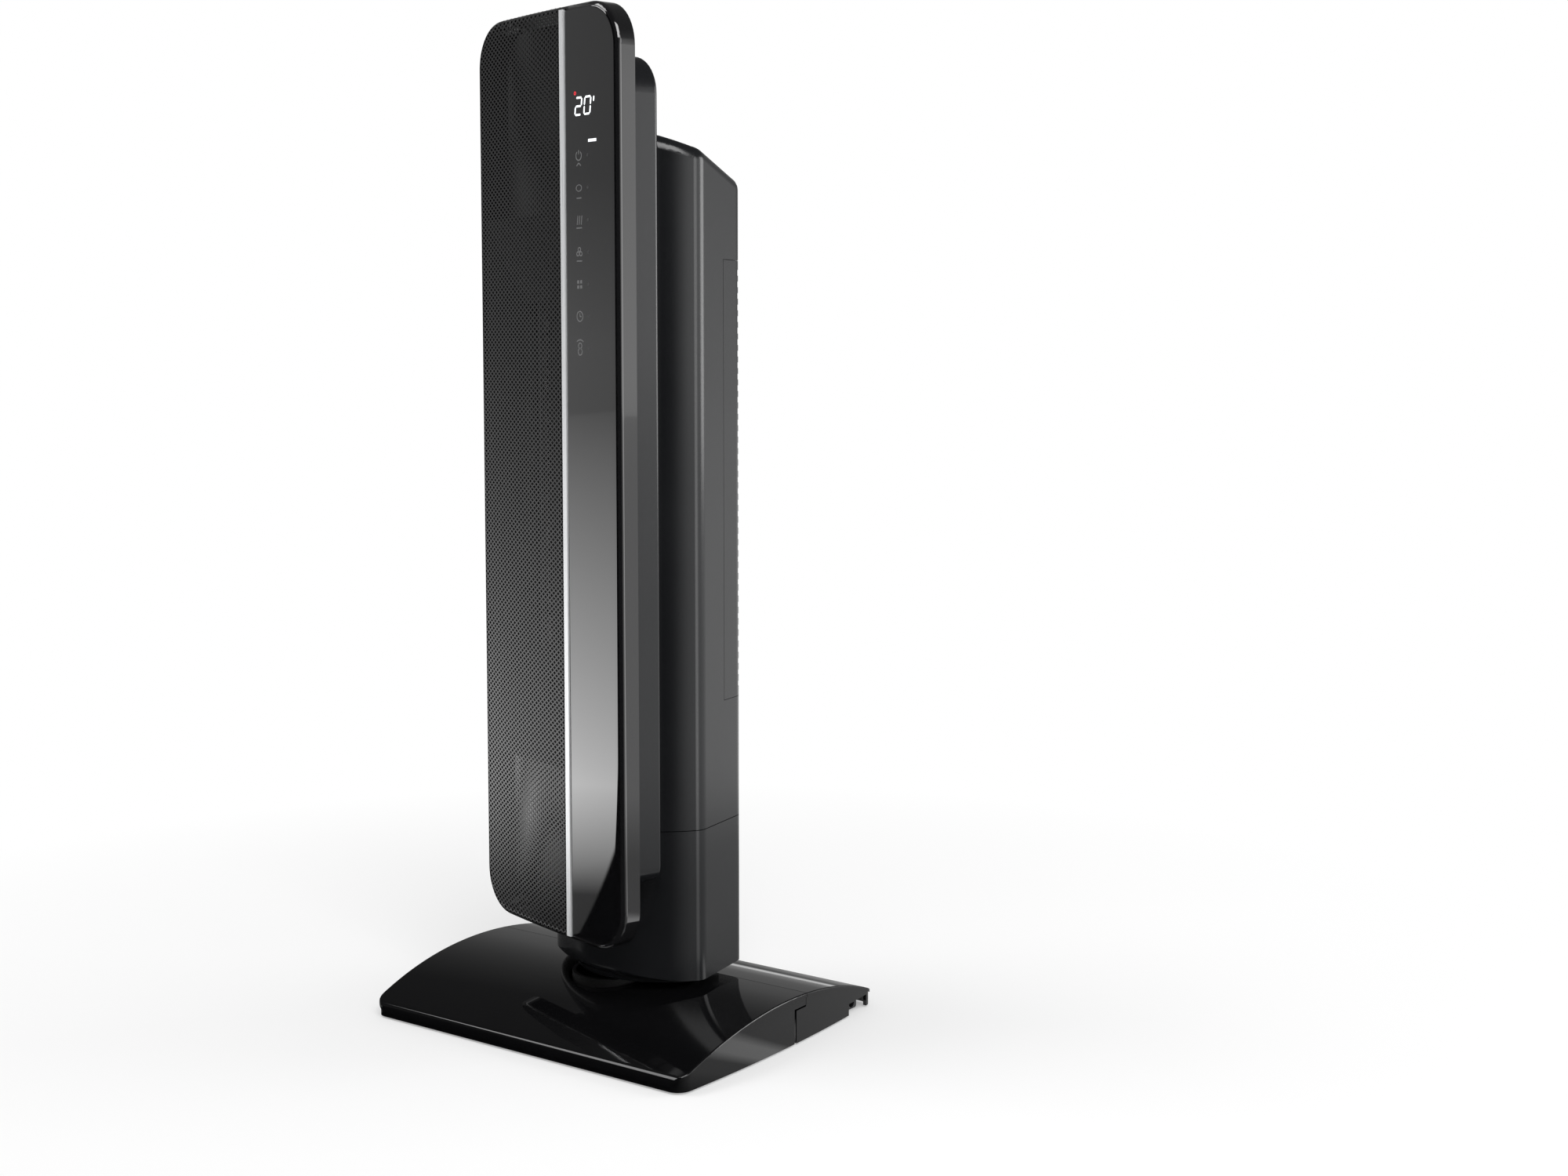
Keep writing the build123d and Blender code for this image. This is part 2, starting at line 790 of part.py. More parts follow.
def rear_band(outer, inner, margin):
    """Curved band round the back of the body between two insets, with a margin top and bottom."""
    with BuildPart() as band:
        with BuildSketch(Plane.XY.offset(grille_bottom_z + margin)):
            add(body_plan(outer))
            add(body_plan(inner), mode=Mode.SUBTRACT)
        extrude(amount=grille_top_z - grille_bottom_z - 2 * margin)
        with Locations((0, grille_start_y + slide_gap, 0)):
            Box(wide, wide, 2 * tall, align=(Align.CENTER, Align.MAX, Align.CENTER), mode=Mode.SUBTRACT)
    return band.part


with BuildPart() as rear_grille:
    add(rear_band(0, grille_thickness, 0))
    with BuildSketch(Plane.XZ):
        with Locations((0, grille_middle_z)):
            with GridLocations(louvre_span + louvre_bar, louvre_pitch, louvre_columns, louvre_count):
                Rectangle(louvre_span, louvre_slot)
    extrude(amount=-wide, mode=Mode.SUBTRACT)
write(rear_grille.part, "rear_grille", swing_home)

air_filter = rear_band(grille_thickness, grille_thickness + filter_thickness, louvre_pitch / 2)
write(air_filter, "air_filter", swing_home)

with BuildPart() as switch_body:
    with Locations((0, body_rear_y + switch_bezel, switch_z)):
        Box(
            2 * switch_half,
            switch_depth + switch_bezel,
            switch_height,
            align=(Align.CENTER, Align.MAX, Align.CENTER),
        )
    with Locations((0, body_rear_y, switch_z)):
        Box(
            2 * (switch_half + switch_bezel),
            switch_bezel,
            switch_height + 2 * switch_bezel,
            align=(Align.CENTER, Align.MIN, Align.CENTER),
        )
    with Locations((0, body_rear_y + switch_bezel, switch_z)):
        Box(
            2 * (rocker_half + slide_gap),
            switch_well + switch_bezel,
            2 * (rocker_reach + 3 * slide_gap),
            align=(Align.CENTER, Align.MAX, Align.CENTER),
            mode=Mode.SUBTRACT,
        )
    with BuildSketch(Plane.YZ):
        with Locations((rocker_pivot_y, switch_z)):
            Circle(rocker_pivot_radius + run_gap)
    extrude(amount=rocker_half + rocker_pivot_reach + slide_gap, both=True, mode=Mode.SUBTRACT)
write(switch_body.part, "switch_body", swing_home)

# The rocker is drawn level and stands tipped one way at rest
with BuildPart() as switch_rocker:
    with BuildSketch(Plane.YZ):
        Polygon(
            (-rocker_back, -rocker_reach / 2),
            (rocker_rise, -rocker_reach),
            (rocker_dip, 0),
            (rocker_rise, rocker_reach),
            (-rocker_back, rocker_reach / 2),
            align=None,
        )
    extrude(amount=rocker_half, both=True)
    with BuildSketch(Plane.YZ):
        Circle(rocker_pivot_radius)
    extrude(amount=rocker_half + rocker_pivot_reach, both=True)
rocker_home = Location((0, rocker_pivot_y, switch_z)) * Location((0, 0, 0), (rocker_tilt, 0, 0))
write(switch_rocker.part, "switch_rocker", swing_home * rocker_home)

# Mid frame


def framed_outline(inset):
    """Front view of the mid frame, drawn in by inset."""
    with BuildSketch() as outline:
        with Locations((0, (mid_top_z + mid_bottom_z) / 2)):
            Rectangle(2 * (mid_half - inset), mid_top_z - mid_bottom_z - 2 * inset)
        fillet(outline.vertices().group_by(Axis.Y)[-1], mid_top_corner - inset)
        fillet(outline.vertices().group_by(Axis.Y)[0], mid_bottom_corner - inset)
    return outline.sketch


with BuildPart() as mid_frame:
    with BuildSketch(Plane.XZ.offset(-mid_back_y)):
        add(framed_outline(0))
    extrude(amount=mid_back_y - panel_back_y)
    fillet(mid_frame.faces().sort_by(Axis.Y)[-1].edges(), mid_back_round)
    with BuildSketch(Plane.XZ.offset(mid_wall - mid_back_y)):
        add(framed_outline(mid_wall))
    extrude(amount=wide, mode=Mode.SUBTRACT)
    with BuildSketch(Plane.XZ):
        with Locations((outlet_x, outlet_middle_z)):
            Rectangle(duct_width, outlet_height)
    extrude(amount=wide, mode=Mode.SUBTRACT)
    with BuildSketch(Plane.XZ.offset(-mid_back_y)):
        with Locations((0, (power_bottom_z + power_top_z) / 2)):
            with GridLocations(
                2 * (power_half - post_inset), power_top_z - power_bottom_z - 2 * post_inset, 2, 2
            ):
                Circle(post_radius)
    extrude(amount=-power_standoff)
write(mid_frame.part, "mid_frame", swing_home)

# Front panel


def panel_outline(inset):
    """Front view of the panel, drawn in by inset."""
    with BuildSketch() as outline:
        with Locations((0, panel_middle_z)):
            RectangleRounded(
                2 * (panel_half - inset), panel_height - 2 * inset, panel_corner - inset
            )
    return outline.sketch


def bow(x, depth):
    """Point of the bowed front at x, seen from above, at a depth behind its face."""
    return (x, panel_front_y + depth + bow_radius - (bow_radius**2 - x**2) ** 0.5)


def bowed_slab(left, right, front, back, inset):
    """Sheet between two depths that follow the bow, inside the panel's outline."""
    middle = (left + right) / 2
    with BuildPart() as slab:
        with BuildSketch():
            with BuildLine():
                ThreePointArc(bow(left, front), bow(middle, front), bow(right, front))
                Line(bow(right, front), bow(right, back))
                ThreePointArc(bow(right, back), bow(middle, back), bow(left, back))
                Line(bow(left, back), bow(left, front))
            make_face()
        extrude(amount=tall)
        with BuildSketch(Plane.XZ):
            add(panel_outline(inset))
        extrude(amount=wide, both=True, mode=Mode.INTERSECT)
    return slab.part


seat_inset = panel_rim - joint_gap
pocket_inset = panel_rim + ledge
grille_right = strip_left - joint_gap
lens_left = strip_right + joint_gap

with BuildPart() as front_frame:
    with BuildSketch(Plane.XZ.offset(-panel_back_y)):
        add(panel_outline(0))
    extrude(amount=panel_depth)
    with BuildSketch():
        with BuildLine():
            ThreePointArc(bow(-panel_half, 0), bow(0, 0), bow(panel_half, 0))
            Polyline(
                bow(panel_half, 0),
                (panel_half, panel_back_y),
                (-panel_half, panel_back_y),
                bow(-panel_half, 0),
            )
        make_face()
    extrude(amount=tall, mode=Mode.INTERSECT)
    fillet(front_frame.faces().sort_by(Axis.Y)[0].edges(), panel_edge_round)
    for left, right, depth in (
        (-panel_half, grille_right, sheet_thickness),
        (strip_left - joint_gap, strip_right + joint_gap, strip_depth),
        (lens_left - joint_gap, panel_half, lens_thickness),
    ):
        add(bowed_slab(left, right, -cut_proud, depth, seat_inset), mode=Mode.SUBTRACT)
    with BuildSketch(Plane.XZ.offset(-control_floor_y)) as pockets:
        add(panel_outline(pocket_inset))
        with Locations(((strip_left + strip_right) / 2, panel_middle_z)):
            Rectangle(strip_right - strip_left + 2 * ledge, panel_height, mode=Mode.SUBTRACT)
    extrude(amount=wide, mode=Mode.SUBTRACT)
    with BuildSketch(Plane.XZ):
        with Locations((outlet_x, outlet_middle_z)):
            Rectangle(outlet_width, outlet_height)
    extrude(amount=wide, mode=Mode.SUBTRACT)
    with BuildSketch(Plane.XZ.offset(-control_floor_y)):
        with Locations(((board_left + board_right) / 2, (board_bottom_z + board_top_z) / 2)):
            with GridLocations(
                board_right - board_left - 2 * post_inset,
                board_top_z - board_bottom_z - 2 * post_inset,
                2,
                2,
            ):
                Circle(post_radius)
    extrude(amount=control_floor_y - board_front_y - board_thickness)
write(front_frame.part, "front_frame", swing_home)

front_grille = bowed_slab(-panel_half, grille_right - joint_gap, 0, sheet_thickness, panel_rim)
write(front_grille, "front_grille", swing_home)

trim_strip = bowed_slab(strip_left, strip_right, -strip_proud, strip_depth, panel_rim)
write(trim_strip, "trim_strip", swing_home)

control_lens = bowed_slab(lens_left, panel_half, 0, lens_thickness, panel_rim)
write(control_lens, "control_lens", swing_home)

with BuildPart() as touch_board:
    with BuildSketch(Plane.XZ.offset(-board_front_y)):
        with Locations(((board_left + board_right) / 2, (board_bottom_z + board_top_z) / 2)):
            Rectangle(board_right - board_left, board_top_z - board_bottom_z)
    extrude(amount=-board_thickness)
write(touch_board.part, "touch_board", swing_home)

with BuildPart() as display_module:
    with BuildSketch(Plane.XZ.offset(-board_front_y)):
        with Locations((display_x, display_z)):
            Rectangle(display_width, display_height)
    extrude(amount=display_thickness)
write(display_module.part, "display_module", swing_home)

# Air outlet and heater


def funnel_solid(outset):
    """Flared solid from the mouth behind the grille to the outlet, drawn out by outset."""
    with BuildPart() as flare:
        with BuildSketch(Plane.XZ.offset(-control_floor_y)):
            with Locations((outlet_x, outlet_middle_z)):
                Rectangle(outlet_width + 2 * outset, outlet_height + 2 * outset)
        with BuildSketch(Plane.XZ.offset(-panel_front_y - mouth_depth)):
            with Locations(((mouth_left + mouth_right) / 2, (mouth_bottom_z + mouth_top_z) / 2)):
                Rectangle(
                    mouth_right - mouth_left + 2 * outset, mouth_top_z - mouth_bottom_z + 2 * outset
                )
        loft()
    return flare.part


with BuildPart() as outlet_funnel:
    add(funnel_solid(0))
    add(funnel_solid(-funnel_wall), mode=Mode.SUBTRACT)
write(outlet_funnel.part, "outlet_funnel", swing_home)

heater_back_y = mid_back_y - mid_wall
with BuildPart() as heater_frame:
    with BuildSketch(Plane.XZ.offset(-heater_back_y)):
        with Locations((outlet_x, outlet_middle_z)):
            Rectangle(outlet_width + 2 * heater_wall, outlet_height + 2 * heater_wall)
            Rectangle(outlet_width, outlet_height, mode=Mode.SUBTRACT)
    extrude(amount=heater_back_y - heater_front_y)
    with BuildSketch(Plane.XZ.offset(-heater_front_y)):
        with Locations((outlet_x, outlet_middle_z)):
            Rectangle(rib_width, outlet_height)
    extrude(amount=-rib_depth)
write(heater_frame.part, "heater_frame", swing_home)

core_pitch = fin_width + core_thickness
for number in range(core_count):
    with BuildPart() as core:
        with BuildSketch(Plane.XZ.offset(-core_front_y)):
            with Locations((outlet_x + (number - (core_count - 1) / 2) * core_pitch, outlet_middle_z)):
                Rectangle(core_thickness, outlet_height)
        extrude(amount=-core_depth)
    write(core.part, "ceramic_core_" + str(number + 1), swing_home)

fin_pitch = outlet_height / fin_slots
for number in range(core_count + 1):
    with BuildPart() as fins:
        with BuildSketch(Plane.XZ.offset(-core_front_y)):
            with Locations((outlet_x + (number - core_count / 2) * core_pitch, outlet_middle_z)):
                Rectangle(fin_width, outlet_height)
                with GridLocations(0, fin_pitch, 1, fin_slots):
                    Rectangle(fin_width - 2 * fin_band, fin_pitch - fin_thickness, mode=Mode.SUBTRACT)
        extrude(amount=-core_depth)
    write(fins.part, "heater_fins_" + str(number + 1), swing_home)

with BuildPart() as thermal_cutout:
    with BuildSketch(Plane.XY.offset(outlet_top_z + heater_wall)):
        with Locations((outlet_x, (heater_back_y + heater_front_y) / 2)):
            Circle(cutout_radius)
    extrude(amount=cutout_height)
write(thermal_cutout.part, "thermal_cutout", swing_home)

# Blower

impeller_axis = (impeller_x, impeller_y)
duct_wall_end = impeller_y + scroll_radius / 4
scroll_floor_z = outlet_bottom_z - scroll_wall


def scroll_plate():
    """Plan of the scroll's end plates."""
    with BuildSketch() as plate:
        with Locations(impeller_axis):
            Circle(scroll_radius + scroll_wall)
        with Locations((duct_left - scroll_wall, mid_back_y)):
            Rectangle(
                impeller_x - duct_left + scroll_wall,
                duct_wall_end - mid_back_y,
                align=(Align.MIN, Align.MIN),
            )
    return plate.sketch


with BuildPart() as blower_scroll:
    with BuildSketch(Plane.XY.offset(scroll_floor_z)):
        with Locations(impeller_axis):
            Circle(scroll_radius + scroll_wall)
            Circle(scroll_radius, mode=Mode.SUBTRACT)
        with Locations((duct_right, 0)):
            Rectangle(wide, wide, align=(Align.MAX, Align.CENTER), mode=Mode.SUBTRACT)
        with Locations(impeller_axis):
            Polygon(
                (0, 0),
                (wide * cos(radians(scroll_inlet_start)), wide * sin(radians(scroll_inlet_start))),
                (-wide, wide),
                (-wide, 0),
                align=None,
                mode=Mode.SUBTRACT,
            )
        with Locations((duct_right, mid_back_y)):
            Rectangle(
                scroll_wall,
                impeller_y - scroll_radius - mid_back_y + scroll_wall / 4,
                align=(Align.MIN, Align.MIN),
            )
        with Locations((duct_left, mid_back_y)):
            Rectangle(scroll_wall, duct_wall_end - mid_back_y, align=(Align.MAX, Align.MIN))
    extrude(amount=outlet_height + 2 * scroll_wall)
    for plate_z in (scroll_floor_z, outlet_top_z):
        with BuildSketch(Plane.XY.offset(plate_z)):
            add(scroll_plate())
            with Locations(impeller_axis):
                Circle(bush_radius - scroll_wall, mode=Mode.SUBTRACT)
        extrude(amount=scroll_wall)
write(blower_scroll.part, "blower_scroll", swing_home)

blade_reach = (impeller_radius - impeller_inner) / cos(radians(blade_lean)) / 2
with BuildSketch() as blade:
    with BuildLine():
        ThreePointArc((-blade_reach, 0), (0, blade_sag), (blade_reach, 0))
        Line((blade_reach, 0), (blade_reach, blade_thickness))
        ThreePointArc(
            (blade_reach, blade_thickness),
            (0, blade_sag + blade_thickness),
            (-blade_reach, blade_thickness),
        )
        Line((-blade_reach, blade_thickness), (-blade_reach, 0))
    make_face()

impeller_height = impeller_top_z - impeller_bottom_z
with BuildPart() as impeller:
    with BuildSketch(Plane.XY.offset(impeller_bottom_z)):
        with PolarLocations((impeller_radius + impeller_inner) / 2, blade_count):
            add(blade.sketch, rotation=blade_lean)
        Circle(impeller_radius, mode=Mode.INTERSECT)
    extrude(amount=impeller_height)
    for number in range(disc_count):
        disc_z = impeller_bottom_z + number * (impeller_height - disc_thickness) / (disc_count - 1)
        with BuildSketch(Plane.XY.offset(disc_z)):
            Circle(impeller_radius)
            if number in (0, disc_count - 1):
                Circle(fan_shaft_radius, mode=Mode.SUBTRACT)
            else:
                Circle(impeller_inner - blade_thickness, mode=Mode.SUBTRACT)
        extrude(amount=disc_thickness)
impeller_home = swing_home * Location((impeller_x, impeller_y, 0))
write(impeller.part, "impeller", impeller_home)

fan_motor_foot_z = scroll_floor_z - fan_motor_height
with BuildPart() as impeller_shaft:
    with BuildSketch(Plane.XY.offset(fan_motor_foot_z + shaft_tail)):
        Circle(fan_shaft_radius)
    extrude(amount=outlet_top_z + scroll_wall + bush_height - fan_motor_foot_z - shaft_tail)
write(impeller_shaft.part, "impeller_shaft", impeller_home)

with BuildPart() as fan_motor:
    with BuildSketch(Plane.XY.offset(fan_motor_foot_z)):
        Circle(fan_motor_radius)
    extrude(amount=fan_motor_height)
    with BuildSketch(Plane.XY.offset(fan_motor_foot_z + shaft_tail - slide_gap)):
        Circle(fan_shaft_radius + run_gap)
    extrude(amount=fan_motor_height, mode=Mode.SUBTRACT)
write(fan_motor.part, "fan_motor", impeller_home)

with BuildPart() as shaft_bush:
    with BuildSketch(Plane.XY.offset(outlet_top_z + scroll_wall)):
        Circle(bush_radius)
        Circle(fan_shaft_radius + run_gap, mode=Mode.SUBTRACT)
    extrude(amount=bush_height)
write(shaft_bush.part, "shaft_bush", impeller_home)

# Power board

power_board_y = mid_back_y + power_standoff
with BuildPart() as power_board:
    with BuildSketch(Plane.XZ.offset(-power_board_y)):
        with Locations((0, (power_bottom_z + power_top_z) / 2)):
            Rectangle(2 * power_half, power_top_z - power_bottom_z)
    extrude(amount=-board_thickness)
write(power_board.part, "power_board", swing_home)

for label, relay_x in (("relay_left", -relay_spacing / 2), ("relay_right", relay_spacing / 2)):
    with BuildPart() as relay:
        with BuildSketch(Plane.XZ.offset(-power_board_y - board_thickness)):
            with Locations((relay_x, (power_bottom_z + power_top_z) / 2)):
                Rectangle(relay_size, relay_size)
        extrude(amount=-relay_depth)
    write(relay.part, label, swing_home)
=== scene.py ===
import json
import math

import bmesh
import bpy
from mathutils import Matrix, Vector
from mathutils.bvhtree import BVHTree


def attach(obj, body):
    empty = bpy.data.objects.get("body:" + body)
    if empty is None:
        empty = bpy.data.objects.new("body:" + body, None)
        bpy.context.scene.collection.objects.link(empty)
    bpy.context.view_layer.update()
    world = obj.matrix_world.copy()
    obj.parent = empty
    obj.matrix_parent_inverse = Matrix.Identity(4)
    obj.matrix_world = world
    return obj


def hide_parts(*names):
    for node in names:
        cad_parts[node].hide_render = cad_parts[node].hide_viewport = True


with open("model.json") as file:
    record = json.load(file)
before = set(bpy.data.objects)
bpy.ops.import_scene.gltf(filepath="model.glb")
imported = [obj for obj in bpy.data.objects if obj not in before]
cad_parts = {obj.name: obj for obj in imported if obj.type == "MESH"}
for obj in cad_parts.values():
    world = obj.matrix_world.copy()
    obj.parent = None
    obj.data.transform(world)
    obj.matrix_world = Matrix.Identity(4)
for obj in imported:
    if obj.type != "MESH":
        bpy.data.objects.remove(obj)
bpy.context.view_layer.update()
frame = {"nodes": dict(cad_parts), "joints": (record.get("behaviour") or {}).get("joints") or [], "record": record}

# Everything is in metres. The tower stands turned on its base, so what sits on it is laid out
# in the tower's own axes: x across the panel, y to the back, z up from the floor.
joints = {joint["name"]: joint for joint in frame["joints"]}
swingAxis = Vector(joints["swing"]["pos_m"])
rearward = Vector(joints["grille_pull"]["axis"])
sideward = Vector((rearward.y, -rearward.x, 0))
towerFrame = Matrix((
    (sideward.x, rearward.x, 0, swingAxis.x),
    (sideward.y, rearward.y, 0, swingAxis.y),
    (0, 0, 1, 0),
    (0, 0, 0, 1),
))
towerBack = towerFrame.inverted()
mm = 0.001


def towerBox(name):  # lowest and highest corner of a CAD node in the tower's own axes
    corners = [towerBack @ vertex.co for vertex in frame["nodes"][name].data.vertices]
    low = Vector([min(corner[k] for corner in corners) for k in range(3)])
    high = Vector([max(corner[k] for corner in corners) for k in range(3)])
    return low, high


# Camera

cameraPlace = {  # angles in degrees, lens and sensor in millimetres
    "azimuth": 40.12,
    "distance": 1.689,
    "height": 0.5448,
    "aimAzimuth": 35.8,
    "tiltDown": 4.89,
    "lens": 48.13,
    "sensor": 36,
    "shiftDown": 0.04,
    "farthest": 60,
}


def makeCamera(place):
    around = math.radians(place["azimuth"])
    aim = math.radians(place["aimAzimuth"])
    tilt = math.radians(place["tiltDown"])
    data = bpy.data.cameras.new("camera")
    data.lens = place["lens"]
    data.sensor_width = place["sensor"]
    data.shift_y = -place["shiftDown"]
    data.clip_end = place["farthest"]
    camera = bpy.data.objects.new("camera", data)
    bpy.context.scene.collection.objects.link(camera)
    camera.location = (
        place["distance"] * math.sin(around),
        -place["distance"] * math.cos(around),
        place["height"],
    )
    camera.rotation_euler = (math.radians(90) - tilt, 0, aim)
    bpy.context.scene.camera = camera


makeCamera(cameraPlace)
bpy.context.scene.view_settings.view_transform = "Standard"
print("camera placed")


# Finishes

def newFinish(name):
    finish = bpy.data.materials.new(name)
    finish.use_nodes = True
    shader = finish.node_tree.nodes["Principled BSDF"]
    place = addNode(finish.node_tree, "ShaderNodeTexCoord")
    return finish, shader, place.outputs["Object"]


def addNode(tree, kind, inputs=None, **settings):
    node = tree.nodes.new(kind)
    for key, value in settings.items():
        setattr(node, key, value)
    for key, value in (inputs or {}).items():
        socket = node.inputs[key]
        if isinstance(value, bpy.types.NodeSocket):
            tree.links.new(value, socket)
        else:
            socket.default_value = value
    return node


def mathNode(tree, operation, *values):
    node = addNode(tree, "ShaderNodeMath", dict(enumerate(values)), operation=operation)
    return node.outputs[0]


def grain(tree, place, scale, detail, stretch=(1, 1, 1)):
    scaled = addNode(tree, "ShaderNodeMapping", {"Vector": place, "Scale": stretch})
    noise = addNode(
        tree, "ShaderNodeTexNoise",
        {"Vector": scaled.outputs[0], "Scale": scale, "Detail": detail, "Roughness": 0.5},
    )
    return noise.outputs["Fac"]


def spread(tree, value, low, high, fromLow=0.3, fromHigh=0.7):
    ranged = addNode(
        tree, "ShaderNodeMapRange",
        {"Value": value, "From Min": fromLow, "From Max": fromHigh, "To Min": low, "To Max": high},
    )
    return ranged.outputs["Result"]


def shades(tree, value, dark, light):
    mix = addNode(tree, "ShaderNodeMix", {"Factor": value}, data_type="RGBA")
    mix.inputs[6].default_value = (*dark, 1)
    mix.inputs[7].default_value = (*light, 1)
    return mix.outputs[2]


def tinted(colour, times, plus=0):
    return tuple(min(1, part * times + plus) for part in colour)


def raised(tree, shader, height, strength, distance=0.0002):
    bump = addNode(
        tree, "ShaderNodeBump", {"Height": height, "Strength": strength, "Distance": distance}
    )
    tree.links.new(bump.outputs["Normal"], shader.inputs["Normal"])


def polished(name, colour, smooth, dull, coat=1.0, ior=1.5):
    # piano-black moulding: a faint waviness, a breath of haze and a clear top layer
    finish, shader, place = newFinish(name)
    tree = finish.node_tree
    haze = grain(tree, place, scale=9, detail=4)
    tree.links.new(spread(tree, haze, smooth, dull), shader.inputs["Roughness"])
    lighter = tinted(colour, 1.25, 0.001)
    tree.links.new(shades(tree, haze, colour, lighter), shader.inputs["Base Color"])
    raised(tree, shader, grain(tree, place, scale=55, detail=1), strength=0.04)
    shader.inputs["IOR"].default_value = ior
    shader.inputs["Coat Weight"].default_value = coat
    shader.inputs["Coat Roughness"].default_value = 0.02
    return finish


def moulded(name, colour, smooth, dull, grainScale=900, depth=0.35):
    # textured moulding: fine even grain with a slow change of shade
    finish, shader, place = newFinish(name)
    tree = finish.node_tree
    cloud = grain(tree, place, scale=14, detail=3)
    lighter = tinted(colour, 1.3, 0.004)
    tree.links.new(shades(tree, cloud, colour, lighter), shader.inputs["Base Color"])
    speck = grain(tree, place, grainScale, detail=1)
    tree.links.new(spread(tree, speck, smooth, dull), shader.inputs["Roughness"])
    raised(tree, shader, speck, depth, distance=0.0001)
    return finish


def brushed(name, colour, smooth, dull, stretch=(1, 1, 1), metallic=1.0, depth=0.15):
    # drawn metal: streaks along one axis
    finish, shader, place = newFinish(name)
    tree = finish.node_tree
    streak = grain(tree, place, scale=700, detail=3, stretch=stretch)
    tree.links.new(shades(tree, streak, tinted(colour, 0.82), colour), shader.inputs["Base Color"])
    tree.links.new(spread(tree, streak, smooth, dull), shader.inputs["Roughness"])
    raised(tree, shader, streak, depth, distance=0.00005)
    shader.inputs["Metallic"].default_value = metallic
    return finish


def circuitBoard(name, cells=210, bands=7, clear=0.6):
    # green lacquer over squared copper tracks
    finish, shader, place = newFinish(name)
    tree = finish.node_tree
    tracks = addNode(
        tree, "ShaderNodeTexVoronoi", {"Vector": place, "Scale": cells},
        distance="CHEBYCHEV", feature="F1",
    )
    waves = mathNode(tree, "FRACT", mathNode(tree, "MULTIPLY", tracks.outputs["Distance"], bands))
    line = mathNode(tree, "GREATER_THAN", waves, clear)
    colour = shades(tree, line, (0.012, 0.09, 0.035), (0.04, 0.2, 0.07))
    tree.links.new(colour, shader.inputs["Base Color"])
    raised(tree, shader, line, strength=0.4, distance=0.00005)
    shader.inputs["Roughness"].default_value = 0.32
    return finish


def firedClay(name):
    # ceramic: matt, faintly speckled
    finish, shader, place = newFinish(name)
    tree = finish.node_tree
    speck = grain(tree, place, scale=600, detail=2)
    parted = spread(tree, speck, 0, 1, fromLow=0.45, fromHigh=0.6)
    colour = shades(tree, parted, (0.55, 0.53, 0.48), (0.72, 0.7, 0.65))
    tree.links.new(colour, shader.inputs["Base Color"])
    raised(tree, shader, speck, strength=0.3)
    shader.inputs["Roughness"].default_value = 0.75
    return finish


def wovenMesh(name, threadScale=180):
    # filter cloth: crossed threads, from two sets of waves
    finish, shader, place = newFinish(name)
    tree = finish.node_tree
    upright, across = [
        addNode(
            tree, "ShaderNodeTexWave", {"Vector": place, "Scale": threadScale}, bands_direction=direction
        ).outputs["Fac"]
        for direction in "ZX"
    ]
    threads = mathNode(tree, "MAXIMUM", upright, across)
    colour = shades(tree, threads, (0.01, 0.01, 0.011), (0.09, 0.09, 0.095))
    tree.links.new(colour, shader.inputs["Base Color"])
    raised(tree, shader, threads, strength=0.8, distance=0.0003)
    shader.inputs["Roughness"].default_value = 0.7
    return finish


def glowing(name, colour, strength):
    # lit figures behind the lens: the glow is a little uneven
    finish, shader, place = newFinish(name)
    tree = finish.node_tree
    flicker = spread(tree, grain(tree, place, scale=300, detail=1), 0.85, 1.0)
    tree.links.new(shades(tree, flicker, tinted(colour, 0.7), colour), shader.inputs["Emission Color"])
    shader.inputs["Emission Strength"].default_value = strength
    shader.inputs["Base Color"].default_value = (*colour, 1)
    shader.inputs["Roughness"].default_value = 0.3
    return finish


def printedInk(name, colour):
    # screen print on the back of the lens
    finish, shader, place = newFinish(name)
    tree = finish.node_tree
    patchy = grain(tree, place, scale=1500, detail=2)
    tree.links.new(shades(tree, patchy, tinted(colour, 0.8), colour), shader.inputs["Base Color"])
    tree.links.new(spread(tree, patchy, 0.35, 0.5), shader.inputs["Roughness"])
    return finish


finishes = {
    "base_gloss": polished("pianoBlackBase", (0.0025, 0.0025, 0.0028), 0.03, 0.07, coat=0.1),
    "rubber": moulded("footRubber", (0.018, 0.018, 0.018), 0.75, 0.95, 700, 0.5),
    "inner_plastic": moulded("darkInnerMoulding", (0.03, 0.03, 0.032), 0.45, 0.65, 800, 0.3),
    "housing_satin": moulded("satinHousing", (0.0065, 0.007, 0.008), 0.16, 0.24, 1100, 0.08),
    "panel_black": polished("polishedSurround", (0.006, 0.006, 0.0065), 0.06, 0.13),
    "grille_metal": moulded("grillePaint", (0.008, 0.008, 0.0085), 0.26, 0.36, 1500, 0.15),
    "trim_silver": brushed("silverTrim", (0.86, 0.87, 0.88), 0.24, 0.38, (1, 1, 0.02), 0.4),
    "lens_gloss": polished("blackLens", (0.003, 0.003, 0.0034), 0.015, 0.04, ior=1.7),
    "board_green": circuitBoard("greenBoard"),
    "display_dark": polished("displayWindow", (0.006, 0.006, 0.007), 0.1, 0.2),
    "ceramic": firedClay("firedCeramic"),
    "fins": brushed("finAluminium", (0.7, 0.71, 0.72), 0.3, 0.5, (1, 0.05, 1)),
    "steel": brushed("turnedSteel", (0.55, 0.55, 0.57), 0.25, 0.4, (1, 1, 0.05)),
    "brass": brushed("sinteredBrass", (0.62, 0.45, 0.2), 0.35, 0.5),
    "motor": brushed("motorCan", (0.42, 0.42, 0.43), 0.3, 0.5, (1, 1, 0.1)),
    "filter": wovenMesh("filterCloth"),
    "relay": moulded("relayCase", (0.02, 0.04, 0.14), 0.25, 0.4, 500, 0.15),
}
slotOf = {part["node"]: part["material_slot"] for part in frame["record"]["subparts"]}
